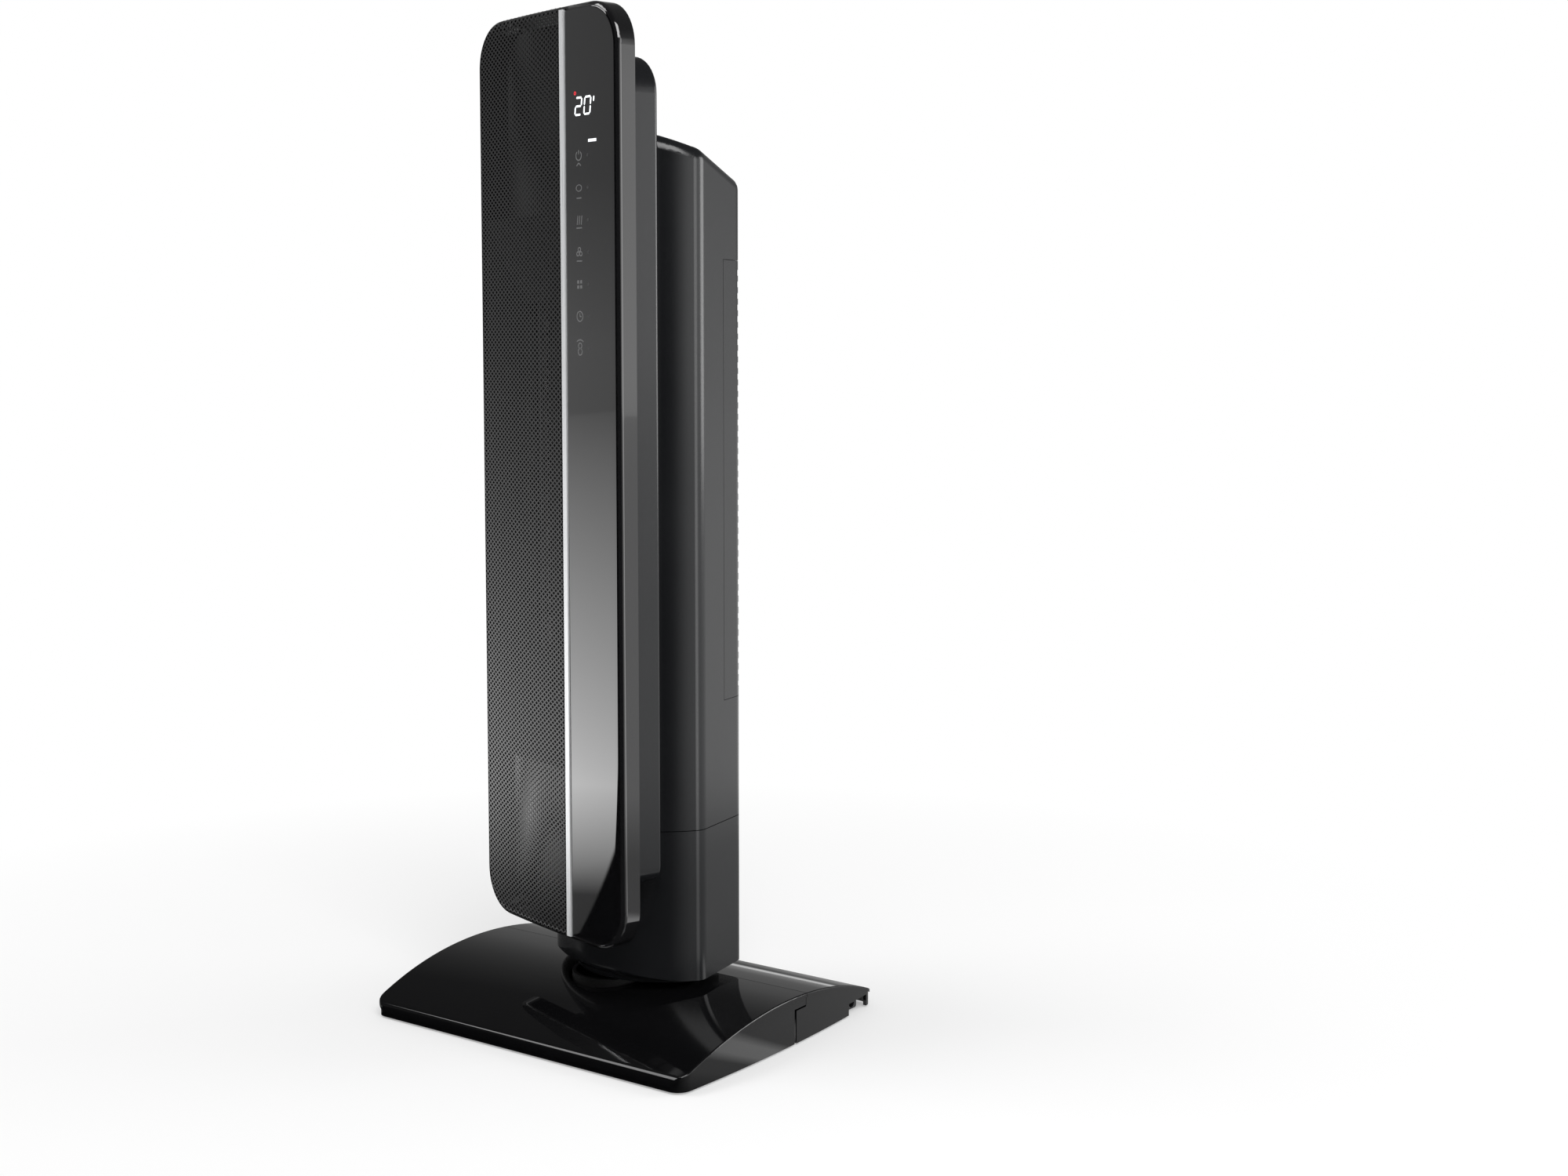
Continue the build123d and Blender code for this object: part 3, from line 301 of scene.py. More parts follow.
ownFinish = {
    "turntable": moulded("ringBlack", (0.002, 0.002, 0.002), 0.55, 0.75, 900, 0.2),
    "outlet_funnel": moulded("funnelBlack", (0.012, 0.012, 0.0125), 0.5, 0.7, 900, 0.2),
    "heater_frame": moulded("heaterSurround", (0.09, 0.09, 0.092), 0.4, 0.6, 900, 0.2),
}
for name, node in frame["nodes"].items():
    node.data.materials.clear()
    node.data.materials.append(ownFinish.get(name, finishes[slotOf[name]]))
print("finishes made:", len(finishes))


# Mesh and node-tree helpers

def finishPiece(piece, body, slot, finish=None):
    piece.data.materials.clear()
    piece.data.materials.append(finish or finishes[slot])
    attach(piece, body)


def linkMesh(name, mesh):
    piece = bpy.data.objects.new(name, mesh)
    bpy.context.scene.collection.objects.link(piece)
    return piece


def meshFromShell(name, shell):
    mesh = bpy.data.meshes.new(name)
    shell.to_mesh(mesh)
    shell.free()
    return mesh


def pieceFromShell(name, shell):
    bmesh.ops.recalc_face_normals(shell, faces=shell.faces)
    return linkMesh(name, meshFromShell(name, shell))


def recalculate(mesh):
    shell = bmesh.new()
    shell.from_mesh(mesh)
    bmesh.ops.recalc_face_normals(shell, faces=shell.faces)
    shell.to_mesh(mesh)
    shell.free()


def newTree(name, sizes):
    tree = bpy.data.node_groups.new(name, "GeometryNodeTree")
    tree.interface.new_socket(name="Geometry", in_out="INPUT", socket_type="NodeSocketGeometry")
    for label, value in sizes.items():
        kind = "NodeSocketInt" if isinstance(value, int) else "NodeSocketFloat"
        socket = tree.interface.new_socket(name=label, in_out="INPUT", socket_type=kind)
        socket.default_value = value
    tree.interface.new_socket(name="Geometry", in_out="OUTPUT", socket_type="NodeSocketGeometry")
    return tree, tree.nodes.new("NodeGroupInput"), tree.nodes.new("NodeGroupOutput")


def endTree(tree, output, geometry, finish):
    realised = addNode(tree, "GeometryNodeRealizeInstances", {"Geometry": geometry})
    dressed = addNode(
        tree, "GeometryNodeSetMaterial", {"Geometry": realised.outputs[0], "Material": finish}
    )
    tree.links.new(dressed.outputs[0], output.inputs["Geometry"])


def grow(name, tree, sizes, seed=None):
    # runs a node tree on a seed mesh and keeps the plain mesh that comes out
    holder = linkMesh(name, seed or bpy.data.meshes.new(name))
    modifier = holder.modifiers.new("grow", "NODES")
    modifier.node_group = tree
    for item in tree.interface.items_tree:
        if item.item_type == "SOCKET" and item.in_out == "INPUT" and item.name in sizes:
            modifier[item.identifier] = sizes[item.name]
    evaluated = holder.evaluated_get(bpy.context.evaluated_depsgraph_get())
    mesh = bpy.data.meshes.new_from_object(evaluated)
    holder.modifiers.clear()
    holder.data = mesh
    return holder


# Panel face, which the grille, the strip and the prints follow

frameLow, frameHigh = towerBox("front_frame")
stripLow, stripHigh = towerBox("trim_strip")
panel = {
    "half": frameHigh.x,
    "top": frameHigh.z,
    "bottom": frameLow.z,
    "front": frameLow.y,
    "bow": 4 * mm,
    "corner": 35 * mm,
    "edgeRound": 5 * mm,
}
panel["bowRadius"] = (panel["half"] ** 2 + panel["bow"] ** 2) / (2 * panel["bow"])
panel["middle"] = (panel["top"] + panel["bottom"]) / 2
panel["straightX"] = panel["half"] - panel["corner"]
panel["straightZ"] = (panel["top"] - panel["bottom"]) / 2 - panel["corner"]


def edgeDistance(x, z):  # how far inside the panel's outline a point lies
    overX = abs(x) - panel["straightX"]
    overZ = abs(z - panel["middle"]) - panel["straightZ"]
    outside = math.hypot(max(overX, 0), max(overZ, 0))
    return panel["corner"] - outside - min(max(overX, overZ), 0)


def panelFace(x, z):
    x = min(max(x, -panel["half"]), panel["half"])
    bowed = panel["front"] + panel["bowRadius"] - math.sqrt(panel["bowRadius"] ** 2 - x**2)
    short = min(max(panel["edgeRound"] - edgeDistance(x, z), 0), panel["edgeRound"])
    return bowed + panel["edgeRound"] - math.sqrt(panel["edgeRound"] ** 2 - short**2)


def flush(x, z):
    return 0


def layOnPanel(mesh, proud=flush):
    # x and z stay, and y, the depth behind the face, is counted from the bowed face
    for vertex in mesh.vertices:
        x, y, z = vertex.co
        vertex.co.y = panelFace(x, z) + y - proud(x, z)
    mesh.transform(towerFrame)
    mesh.update()


# Perforated grille

grille = {
    "Pitch Across": 5.9 * mm,
    "Pitch Up": 4.18 * mm,
    "Open Share": 0.64,
    "Thickness": 0.5 * mm,
    "Right Edge": stripLow.x - 1.0 * mm,
    "Edge Margin": 1.6 * mm,
    "Cells": 196,
}
grilleRim = {"from": 6 * mm, "to": 3.4 * mm, "rise": 0.35 * mm}
weldReach = 1e-5


def makeGrilleTree():
    # a square grid laid cornerwise, each cell of which becomes a thin frame round a hole
    tree, given, output = newTree("perforatedSheet", grille)
    position = addNode(tree, "GeometryNodeInputPosition").outputs[0]
    size = mathNode(tree, "SUBTRACT", given.outputs["Cells"], 1.0)
    cells = addNode(tree, "GeometryNodeMeshGrid", {
        "Size X": size, "Size Y": size,
        "Vertices X": given.outputs["Cells"], "Vertices Y": given.outputs["Cells"],
    })
    here = addNode(tree, "ShaderNodeSeparateXYZ", {0: position})
    across = mathNode(tree, "MULTIPLY", mathNode(tree, "SUBTRACT", here.outputs[0], here.outputs[1]),
                      mathNode(tree, "MULTIPLY", given.outputs["Pitch Across"], 0.5))
    upward = mathNode(tree, "MULTIPLY", mathNode(tree, "ADD", here.outputs[0], here.outputs[1]),
                      mathNode(tree, "MULTIPLY", given.outputs["Pitch Up"], 0.5))
    raisedUp = mathNode(tree, "ADD", upward, panel["middle"])
    placed = addNode(tree, "GeometryNodeSetPosition", {
        "Geometry": cells.outputs["Mesh"],
        "Position": addNode(tree, "ShaderNodeCombineXYZ", {0: across, 2: raisedUp}).outputs[0],
    })
    # cells outside the panel's rounded outline, or past the strip, go
    spot = addNode(tree, "ShaderNodeSeparateXYZ", {0: position})
    sideways = mathNode(tree, "ABSOLUTE", spot.outputs[0])
    overX = mathNode(tree, "MAXIMUM", mathNode(tree, "SUBTRACT", sideways, panel["straightX"]), 0.0)
    upDown = mathNode(tree, "ABSOLUTE", mathNode(tree, "SUBTRACT", spot.outputs[2], panel["middle"]))
    overZ = mathNode(tree, "MAXIMUM", mathNode(tree, "SUBTRACT", upDown, panel["straightZ"]), 0.0)
    reach = mathNode(tree, "SQRT", mathNode(
        tree, "ADD", mathNode(tree, "MULTIPLY", overX, overX), mathNode(tree, "MULTIPLY", overZ, overZ)))
    beyond = mathNode(tree, "GREATER_THAN", mathNode(tree, "ADD", reach, given.outputs["Edge Margin"]),
                      panel["corner"])
    right = mathNode(tree, "GREATER_THAN", spot.outputs[0], given.outputs["Right Edge"])
    trimmed = addNode(tree, "GeometryNodeDeleteGeometry", {
        "Geometry": placed.outputs[0], "Selection": mathNode(tree, "MAXIMUM", beyond, right),
    }, domain="FACE")
    rings = addNode(tree, "GeometryNodeExtrudeMesh", {
        "Mesh": trimmed.outputs[0], "Offset Scale": 0.0, "Individual": True,
    }, mode="FACES")
    shrunk = addNode(tree, "GeometryNodeScaleElements", {
        "Geometry": rings.outputs["Mesh"], "Selection": rings.outputs["Top"],
        "Scale": given.outputs["Open Share"],
    }, domain="FACE")
    opened = addNode(tree, "GeometryNodeDeleteGeometry", {
        "Geometry": shrunk.outputs[0], "Selection": rings.outputs["Top"],
    }, domain="FACE")
    joined = addNode(
        tree, "GeometryNodeMergeByDistance", {"Geometry": opened.outputs[0], "Distance": weldReach}
    )
    wall = addNode(tree, "GeometryNodeExtrudeMesh", {
        "Mesh": joined.outputs[0],
        "Offset": addNode(tree, "ShaderNodeCombineXYZ", {1: given.outputs["Thickness"]}).outputs[0],
        "Offset Scale": 1.0, "Individual": False,
    }, mode="FACES")
    front = addNode(tree, "GeometryNodeFlipFaces", {"Mesh": joined.outputs[0]})
    both = addNode(tree, "GeometryNodeJoinGeometry")
    tree.links.new(wall.outputs["Mesh"], both.inputs[0])
    tree.links.new(front.outputs[0], both.inputs[0])
    whole = addNode(
        tree, "GeometryNodeMergeByDistance", {"Geometry": both.outputs[0], "Distance": weldReach}
    )
    endTree(tree, output, whole.outputs[0], finishes["grille_metal"])
    return tree


def grilleProud(x, z):  # the sheet lies in its seat, and rides up over the rim at the panel's edge
    past = (grilleRim["from"] - edgeDistance(x, z)) / (grilleRim["from"] - grilleRim["to"])
    rise = min(max(past, 0), 1)
    return rise * rise * (3 - 2 * rise) * grilleRim["rise"]


sheet = grow("grilleSheet", makeGrilleTree(), grille)
recalculate(sheet.data)
layOnPanel(sheet.data, grilleProud)
finishPiece(sheet, "tower", "grille_metal")
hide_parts("front_grille")
print("grille faces:", len(sheet.data.polygons))


bandSection = ((-1, 0), (-0.6, 1), (0.6, 1), (1, 0))


def bandAlong(name, outline, half, height):
    # closed flat band of small section that follows points on the panel face
    shell = bmesh.new()
    rings = []
    count = len(outline)
    for k, (x, z) in enumerate(outline):
        ahead = Vector(outline[min(k + 1, count - 1)])
        behind = Vector(outline[max(k - 1, 0)])
        along = (ahead - behind).normalized()
        side = Vector((-along.y, along.x)) * half
        ring = []
        for shift, lift in bandSection:
            ring.append(shell.verts.new((x + side.x * shift, -lift * height, z + side.y * shift)))
        rings.append(ring)
    for first, second in zip(rings, rings[1:]):
        for k in range(4):
            shell.faces.new((first[k], first[(k + 1) % 4], second[(k + 1) % 4], second[k]))
    shell.faces.new(rings[0])
    shell.faces.new(rings[-1])
    return pieceFromShell(name, shell)


hem = {
    "inset": 1.5 * mm,
    "half": 1.0 * mm,
    "height": 0.25 * mm,
    "stripGap": 1.2 * mm,
    "step": 12 * mm,
    "cornerSteps": 10,
}


def hemOutline():
    # from the strip along the top, round the left edge and back along the bottom
    radius = panel["corner"] - hem["inset"]
    left = -panel["half"] + hem["inset"]
    right = stripLow.x - hem["stripGap"]
    top = panel["top"] - hem["inset"]
    bottom = panel["bottom"] + hem["inset"]
    points = []
    steps = int((right - left - radius) / hem["step"])
    for k in range(steps):
        points.append((right + (left + radius - right) * k / steps, top))
    for k in range(hem["cornerSteps"] + 1):
        turn = math.pi / 2 * (1 + k / hem["cornerSteps"])
        points.append((left + radius + radius * math.cos(turn), top - radius + radius * math.sin(turn)))
    points.append((left, bottom + radius))
    for k in range(1, hem["cornerSteps"] + 1):
        turn = math.pi * (1 + k / 2 / hem["cornerSteps"])
        points.append((left + radius + radius * math.cos(turn), bottom + radius + radius * math.sin(turn)))
    for k in range(1, steps + 1):
        points.append((left + radius + (right - left - radius) * k / steps, bottom))
    return points


grilleHem = bandAlong("grilleHem", hemOutline(), hem["half"], hem["height"])
layOnPanel(grilleHem.data, grilleProud)
finishPiece(grilleHem, "tower", "grille_metal")

# Control lens

lens = {
    "rim": 3 * mm,
    "thickness": 2 * mm,
    "edgeRound": 0.9 * mm,
    "edgeSteps": (0, 0.12 * mm, 0.45 * mm, 1.1 * mm, 2.4 * mm),
    "rowStep": 8 * mm,
    "rowGap": 0.8 * mm,
    "cornerSteps": 14,
    "columns": 14,
    "gap": 0.2 * mm,
}
lensLeft = stripHigh.x + lens["gap"]


def lensRight(z, inset):  # right end of the lens at a height, with its outline drawn in by inset
    radius = panel["corner"] - inset
    reach = min(max(abs(z - panel["middle"]) - panel["straightZ"], 0), radius)
    return panel["straightX"] + math.sqrt(radius**2 - reach**2)


def lensRows():
    # heights from the bottom up, close together at both ends and round the corners
    half = (panel["top"] - panel["bottom"]) / 2 - lens["rim"]
    radius = panel["corner"] - lens["rim"]
    ends = [half - step for step in lens["edgeSteps"]]
    for k in range(1, lens["cornerSteps"]):
        height = half - radius + radius * math.cos(math.pi / 2 * k / lens["cornerSteps"])
        if height < ends[-1] - lens["rowGap"]:
            ends.append(height)
    span = half - radius
    steps = int(span / lens["rowStep"])
    upper = [span * k / steps for k in range(steps + 1)]
    heights = sorted(set(upper + ends))
    return [panel["middle"] - height for height in reversed(heights)] + [
        panel["middle"] + height for height in heights[1:]
    ]


def lensDrop(x, z):  # how far the rounded edge lies below the face
    near = min(edgeDistance(x, z) - lens["rim"], x - lensLeft)
    short = min(max(lens["edgeRound"] - near, 0), lens["edgeRound"])
    return lens["edgeRound"] - math.sqrt(lens["edgeRound"] ** 2 - short**2)


def makeLens():
    shell = bmesh.new()
    rows = []
    for z in lensRows():
        outer = lensRight(z, lens["rim"])
        width = outer - lensLeft
        places = [lensLeft + step for step in lens["edgeSteps"]]
        inner = width - 2 * lens["edgeSteps"][-1]
        places += [places[-1] + inner * k / lens["columns"] for k in range(1, lens["columns"])]
        places += [outer - step for step in reversed(lens["edgeSteps"])]
        rows.append([shell.verts.new((x, lensDrop(x, z), z)) for x in places])
    for low, high in zip(rows, rows[1:]):
        for k in range(len(low) - 1):
            shell.faces.new((low[k], low[k + 1], high[k + 1], high[k]))
    border = [edge for edge in shell.edges if edge.is_boundary]
    walls = bmesh.ops.extrude_edge_only(shell, edges=border)
    back = [part for part in walls["geom"] if isinstance(part, bmesh.types.BMVert)]
    for vertex in back:
        vertex.co.y = lens["thickness"]
    bmesh.ops.contextual_create(shell, geom=[edge for edge in shell.edges if edge.is_boundary])
    for face in shell.faces:
        face.smooth = True
    return pieceFromShell("blackLensPlate", shell)


plate = makeLens()
layOnPanel(plate.data)
finishPiece(plate, "tower", "lens_gloss")
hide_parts("control_lens")
print("lens faces:", len(plate.data.polygons))

# Lit figures and touch keys

figures = {
    "shown": "20",
    "height": 12.6 * mm,
    "width": 7.4 * mm,
    "stroke": 1.5 * mm,
    "spacing": 11.2 * mm,
    "lean": 0.12,
    "left": 46.5 * mm,
    "middle": 723.6 * mm,
    "barGap": 0.35,
    "tick": (0.3, 1.05),
    "tickLean": 0.6 * mm,
    "proud": 0.05 * mm,
}
segmentsOf = {"0": "abcdef", "2": "abged"}
keys = {
    "first": 687 * mm,
    "pitch": 24 * mm,
    "middle": 50 * mm,
    "dot": 61 * mm,
    "dotRadius": 1.2 * mm,
    "dotSteps": 16,
    "stroke": 0.9 * mm,
    "radius": 3.4 * mm,
    "proud": 0.04 * mm,
    "roundSteps": 20,
}
statusBar = {"left": 62 * mm, "right": 72 * mm, "height": 697.5 * mm, "thickness": 2.2 * mm}
warmLamp = {"across": 46 * mm, "height": 733.5 * mm, "radius": 1.0 * mm}


def flatPatch(shell, corners, thickness):
    # thin plate with its face at y = -thickness
    front = [shell.verts.new((x, -thickness, z)) for x, z in corners]
    back = [shell.verts.new((x, 0, z)) for x, z in corners]
    shell.faces.new(front)
    shell.faces.new(list(reversed(back)))
    count = len(corners)
    for k in range(count):
        shell.faces.new((front[k], back[k], back[(k + 1) % count], front[(k + 1) % count]))


def segmentCorners(x0, z0, x1, z1, half):
    # one bar of a figure, with pointed ends
    along = Vector((x1 - x0, z1 - z0)).normalized()
    side = Vector((-along.y, along.x)) * half
    start = Vector((x0, z0)) + along * half * figures["barGap"]
    end = Vector((x1, z1)) - along * half * figures["barGap"]
    inStart = start + along * half
    inEnd = end - along * half
    return [start, inStart - side, inEnd - side, end, inEnd + side, inStart + side]


def makeFigures():
    shell = bmesh.new()
    half = figures["stroke"] / 2
    tall = figures["height"] / 2
    wide = figures["width"] / 2
    bars = {
        "a": (-wide, tall, wide, tall), "g": (-wide, 0, wide, 0), "d": (-wide, -tall, wide, -tall),
        "f": (-wide, 0, -wide, tall), "b": (wide, 0, wide, tall),
        "e": (-wide, -tall, -wide, 0), "c": (wide, -tall, wide, 0),
    }
    for place, figure in enumerate(figures["shown"]):
        middle = figures["left"] + wide + place * figures["spacing"]
        for segment in segmentsOf[figure]:
            x0, z0, x1, z1 = bars[segment]
            corners = segmentCorners(x0, z0, x1, z1, half)
            leaned = [(middle + x + z * figures["lean"], figures["middle"] + z) for x, z in corners]
            flatPatch(shell, leaned, figures["proud"])
    tickX = figures["left"] + len(figures["shown"]) * figures["spacing"]
    foot, top = figures["tick"]
    tick = segmentCorners(tickX, foot * tall, tickX + figures["tickLean"], top * tall, half)
    flatPatch(shell, [(x, figures["middle"] + z) for x, z in tick], figures["proud"])
    return pieceFromShell("displayFigures", shell)


def ringPart(shell, x, z, radius, start=0.0, end=360.0, flatten=1.0):
    # printed stroke along part of a circle, drawn as short bars
    inner, outer = radius - keys["stroke"] / 2, radius + keys["stroke"] / 2
    steps = max(4, round(keys["roundSteps"] * (end - start) / 360))
    for k in range(steps):
        first = math.radians(start + (end - start) * k / steps)
        second = math.radians(start + (end - start) * (k + 1) / steps)
        corners = [
            (x + reach * math.cos(turn), z + reach * flatten * math.sin(turn))
            for turn, reach in ((first, inner), (second, inner), (second, outer), (first, outer))
        ]
        flatPatch(shell, corners, keys["proud"])


def stroke(shell, x0, z0, x1, z1, thickness=None):
    half = (thickness or keys["stroke"]) / 2
    along = Vector((x1 - x0, z1 - z0)).normalized()
    side = Vector((-along.y, along.x)) * half
    start, end = Vector((x0, z0)), Vector((x1, z1))
    flatPatch(shell, (start - side, end - side, end + side, start + side), keys["proud"])


# each mark is drawn round its own middle, in shares of its radius
def powerMark(shell, x, z, radius):
    ringPart(shell, x, z, radius, 125, 415)
    stroke(shell, x, z + 0.3 * radius, x, z + 1.25 * radius)
    stroke(shell, x - 0.8 * radius, z - 2.2 * radius, x, z - 1.6 * radius)
    stroke(shell, x, z - 1.6 * radius, x + 0.8 * radius, z - 2.2 * radius)


def upMark(shell, x, z, radius):
    ringPart(shell, x, z, radius, flatten=0.7)
    stroke(shell, x - 0.9 * radius, z - 2.2 * radius, x + 0.9 * radius, z - 2.2 * radius)


def heatMark(shell, x, z, radius):
    for k in (-1, 0, 1):
        stroke(shell, x + k * 0.75 * radius, z - radius, x + k * 0.75 * radius + 0.3 * radius, z + radius)
    stroke(shell, x - radius, z - 1.7 * radius, x + radius, z - 1.7 * radius)


def airMark(shell, x, z, radius):
    for turn in (90, 210, 330):
        away = math.radians(turn)
        middleX = x + 0.62 * radius * math.cos(away)
        middleZ = z + 0.62 * radius * math.sin(away)
        ringPart(shell, middleX, middleZ, 0.45 * radius)
    stroke(shell, x - radius, z - 1.9 * radius, x + radius, z - 1.9 * radius)


def gridMark(shell, x, z, radius):
    for column in (-1, 1):
        for row in (-1, 1):
            middleX, middleZ = x + column * 0.55 * radius, z + row * 0.55 * radius
            reach = 0.36 * radius
            flatPatch(shell, [
                (middleX - reach, middleZ - reach), (middleX + reach, middleZ - reach),
                (middleX + reach, middleZ + reach), (middleX - reach, middleZ + reach),
            ], keys["proud"])


def clockMark(shell, x, z, radius):
    ringPart(shell, x, z, 1.1 * radius)
    stroke(shell, x, z, x, z + 0.7 * radius)
    stroke(shell, x, z, x + 0.55 * radius, z)


def swingMark(shell, x, z, radius):
    ringPart(shell, x, z + 0.55 * radius, 0.62 * radius)
    ringPart(shell, x, z - 0.75 * radius, 0.75 * radius)
    ringPart(shell, x, z, 1.9 * radius, 50, 130)


keyMarks = (powerMark, upMark, heatMark, airMark, gridMark, clockMark, swingMark)


def makeKeys():
    shell = bmesh.new()
    for k, mark in enumerate(keyMarks):
        mark(shell, keys["middle"], keys["first"] - k * keys["pitch"], keys["radius"])
    return pieceFromShell("touchKeys", shell)


def makeDots():
    # a small round lamp window beside each key
    shell = bmesh.new()
    for k in range(len(keyMarks)):
        z = keys["first"] - k * keys["pitch"]
        turns = [math.tau * step / keys["dotSteps"] for step in range(keys["dotSteps"])]
        flatPatch(shell, [
            (keys["dot"] + keys["dotRadius"] * math.cos(turn), z + keys["dotRadius"] * math.sin(turn))
            for turn in turns
        ], 2 * keys["proud"])
    return pieceFromShell("keyLamps", shell)


def makeStatusBar():
    shell = bmesh.new()
    level = statusBar["height"]
    stroke(shell, statusBar["left"], level, statusBar["right"], level, statusBar["thickness"])
    return pieceFromShell("statusBar", shell)


def makeWarmLamp():
    shell = bmesh.new()
    ringPart(shell, warmLamp["across"], warmLamp["height"], warmLamp["radius"])
    return pieceFromShell("warmLamp", shell)


prints = (
    (makeFigures(), glowing("displayGlow", (0.86, 0.9, 0.92), 1.0)),
    (makeStatusBar(), glowing("statusGlow", (0.7, 0.72, 0.74), 0.8)),
    (makeWarmLamp(), glowing("warmGlow", (0.6, 0.02, 0.03), 0.7)),
    (makeKeys(), printedInk("keyInk", (0.16, 0.16, 0.163))),
    (makeDots(), printedInk("lampWindow", (0.05, 0.05, 0.052))),
)
for piece, finish in prints:
    layOnPanel(piece.data)
    finishPiece(piece, "tower", "lens_gloss", finish)
print("prints on the lens:", len(prints))

# Folded heater fins

fins = {"Pitch": 2.6 * mm, "Thickness": 0.3 * mm, "Sink": 0.3 * mm}


def makeFinTree(sizes):
    # one plate, stood up the stack with every other one tilted back, so that the edges meet
    tree, given, output = newTree("foldedFins", sizes)
    places = addNode(tree, "GeometryNodeMeshLine", {
        "Count": given.outputs["Count"],
        "Offset": addNode(tree, "ShaderNodeCombineXYZ", {2: given.outputs["Pitch"]}).outputs[0],
    })
    order = addNode(tree, "GeometryNodeInputIndex").outputs[0]
    lean = mathNode(tree, "MULTIPLY_ADD", mathNode(tree, "MODULO", order, 2.0), mathNode(
        tree, "MULTIPLY", given.outputs["Tilt"], -2.0), given.outputs["Tilt"])
    plates = addNode(tree, "GeometryNodeInstanceOnPoints", {
        "Points": places.outputs["Mesh"],
        "Instance": given.outputs["Geometry"],
        "Rotation": addNode(tree, "ShaderNodeCombineXYZ", {1: lean}).outputs[0],
    })
    endTree(tree, output, plates.outputs[0], finishes["fins"])
    return tree


def boxMesh(name, low, high):
    shell = bmesh.new()
    flat = [(low[0], low[1]), (high[0], low[1]), (high[0], high[1]), (low[0], high[1])]
    bottom = [shell.verts.new((x, y, low[2])) for x, y in flat]
    top = [shell.verts.new((x, y, high[2])) for x, y in flat]
    shell.faces.new(bottom)
    shell.faces.new(top)
    for k in range(4):
        shell.faces.new((bottom[k], bottom[(k + 1) % 4], top[(k + 1) % 4], top[k]))
    bmesh.ops.recalc_face_normals(shell, faces=shell.faces)
    return meshFromShell(name, shell)


def foldStack(name):
    low, high = towerBox(name)
    sink = Vector((fins["Sink"],) * 3)
    low, high = low + sink, high - sink
    width = high.x - low.x
    lean = math.atan2(fins["Pitch"], width)
    count = int((high.z - low.z) / fins["Pitch"]) - 1
    sizes = {"Pitch": fins["Pitch"], "Count": count, "Tilt": lean}
    half = Vector((
        width / 2 / math.cos(lean) - fins["Thickness"], (high.y - low.y) / 2, fins["Thickness"] / 2,
    ))
    blade = boxMesh("finBlade", -half, half)
    stack = grow("finStack" + name[-1], makeFinTree(sizes), sizes, blade)
    stack.data.transform(towerFrame @ Matrix.Translation(
        ((low.x + high.x) / 2, (low.y + high.y) / 2, low.z + fins["Pitch"])))
    finishPiece(stack, "tower", "fins")
    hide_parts(name)
    return count


finCounts = [foldStack(name) for name in sorted(frame["nodes"]) if name.startswith("heater_fins_")]
print("fins folded:", sum(finCounts))

# Screws

screws = {"Head": 1.6 * mm, "Crown": 0.78, "Socket": 0.5, "Socket Depth": 1.2 * mm}
screwSizes = {"radius": 3.2 * mm, "corners": 18, "sunk": 0.3 * mm}
screwPlaces = {
    "sideways": 38 * mm,
    "heights": (66 * mm, 154 * mm, 180 * mm, 250 * mm),
    "retainerShare": 0.73,
    "retainerCount": 3,
}


def makeScrewTree():
    # a disc for each screw, raised, drawn in at the top and pierced by a socket
    tree, given, output = newTree("screwHeads", screws)
    raisedUp = addNode(tree, "GeometryNodeExtrudeMesh", {
        "Mesh": given.outputs["Geometry"], "Offset Scale": given.outputs["Head"], "Individual": True,
    }, mode="FACES")
    crowned = addNode(tree, "GeometryNodeScaleElements", {
        "Geometry": raisedUp.outputs["Mesh"], "Selection": raisedUp.outputs["Top"],
        "Scale": given.outputs["Crown"],
    }, domain="FACE")
    ringed = addNode(tree, "GeometryNodeExtrudeMesh", {
        "Mesh": crowned.outputs[0], "Selection": raisedUp.outputs["Top"],
        "Offset Scale": 0.0, "Individual": True,
    }, mode="FACES")
    pierced = addNode(tree, "GeometryNodeScaleElements", {
        "Geometry": ringed.outputs["Mesh"], "Selection": ringed.outputs["Top"],
        "Scale": given.outputs["Socket"],
    }, domain="FACE")
    deep = addNode(tree, "GeometryNodeExtrudeMesh", {
        "Mesh": pierced.outputs[0], "Selection": ringed.outputs["Top"], "Individual": True,
        "Offset Scale": mathNode(tree, "MULTIPLY", given.outputs["Socket Depth"], -1.0),
    }, mode="FACES")
    endTree(tree, output, deep.outputs["Mesh"], finishes["steel"])
    return tree


def screwDiscs(name, places, normal):
    # seed discs in the tower's own axes, all facing one way
    facing = Vector(normal)
    turned = facing.to_track_quat("Z", "Y").to_matrix()
    shell = bmesh.new()
    for place in places:
        around = []
        for k in range(screwSizes["corners"]):
            turn = math.tau * k / screwSizes["corners"]
            flat = Vector((math.cos(turn), math.sin(turn), 0)) * screwSizes["radius"]
            around.append(shell.verts.new(Vector(place) - facing * screwSizes["sunk"] + turned @ flat))
        shell.faces.new(around)
    return meshFromShell(name, shell)


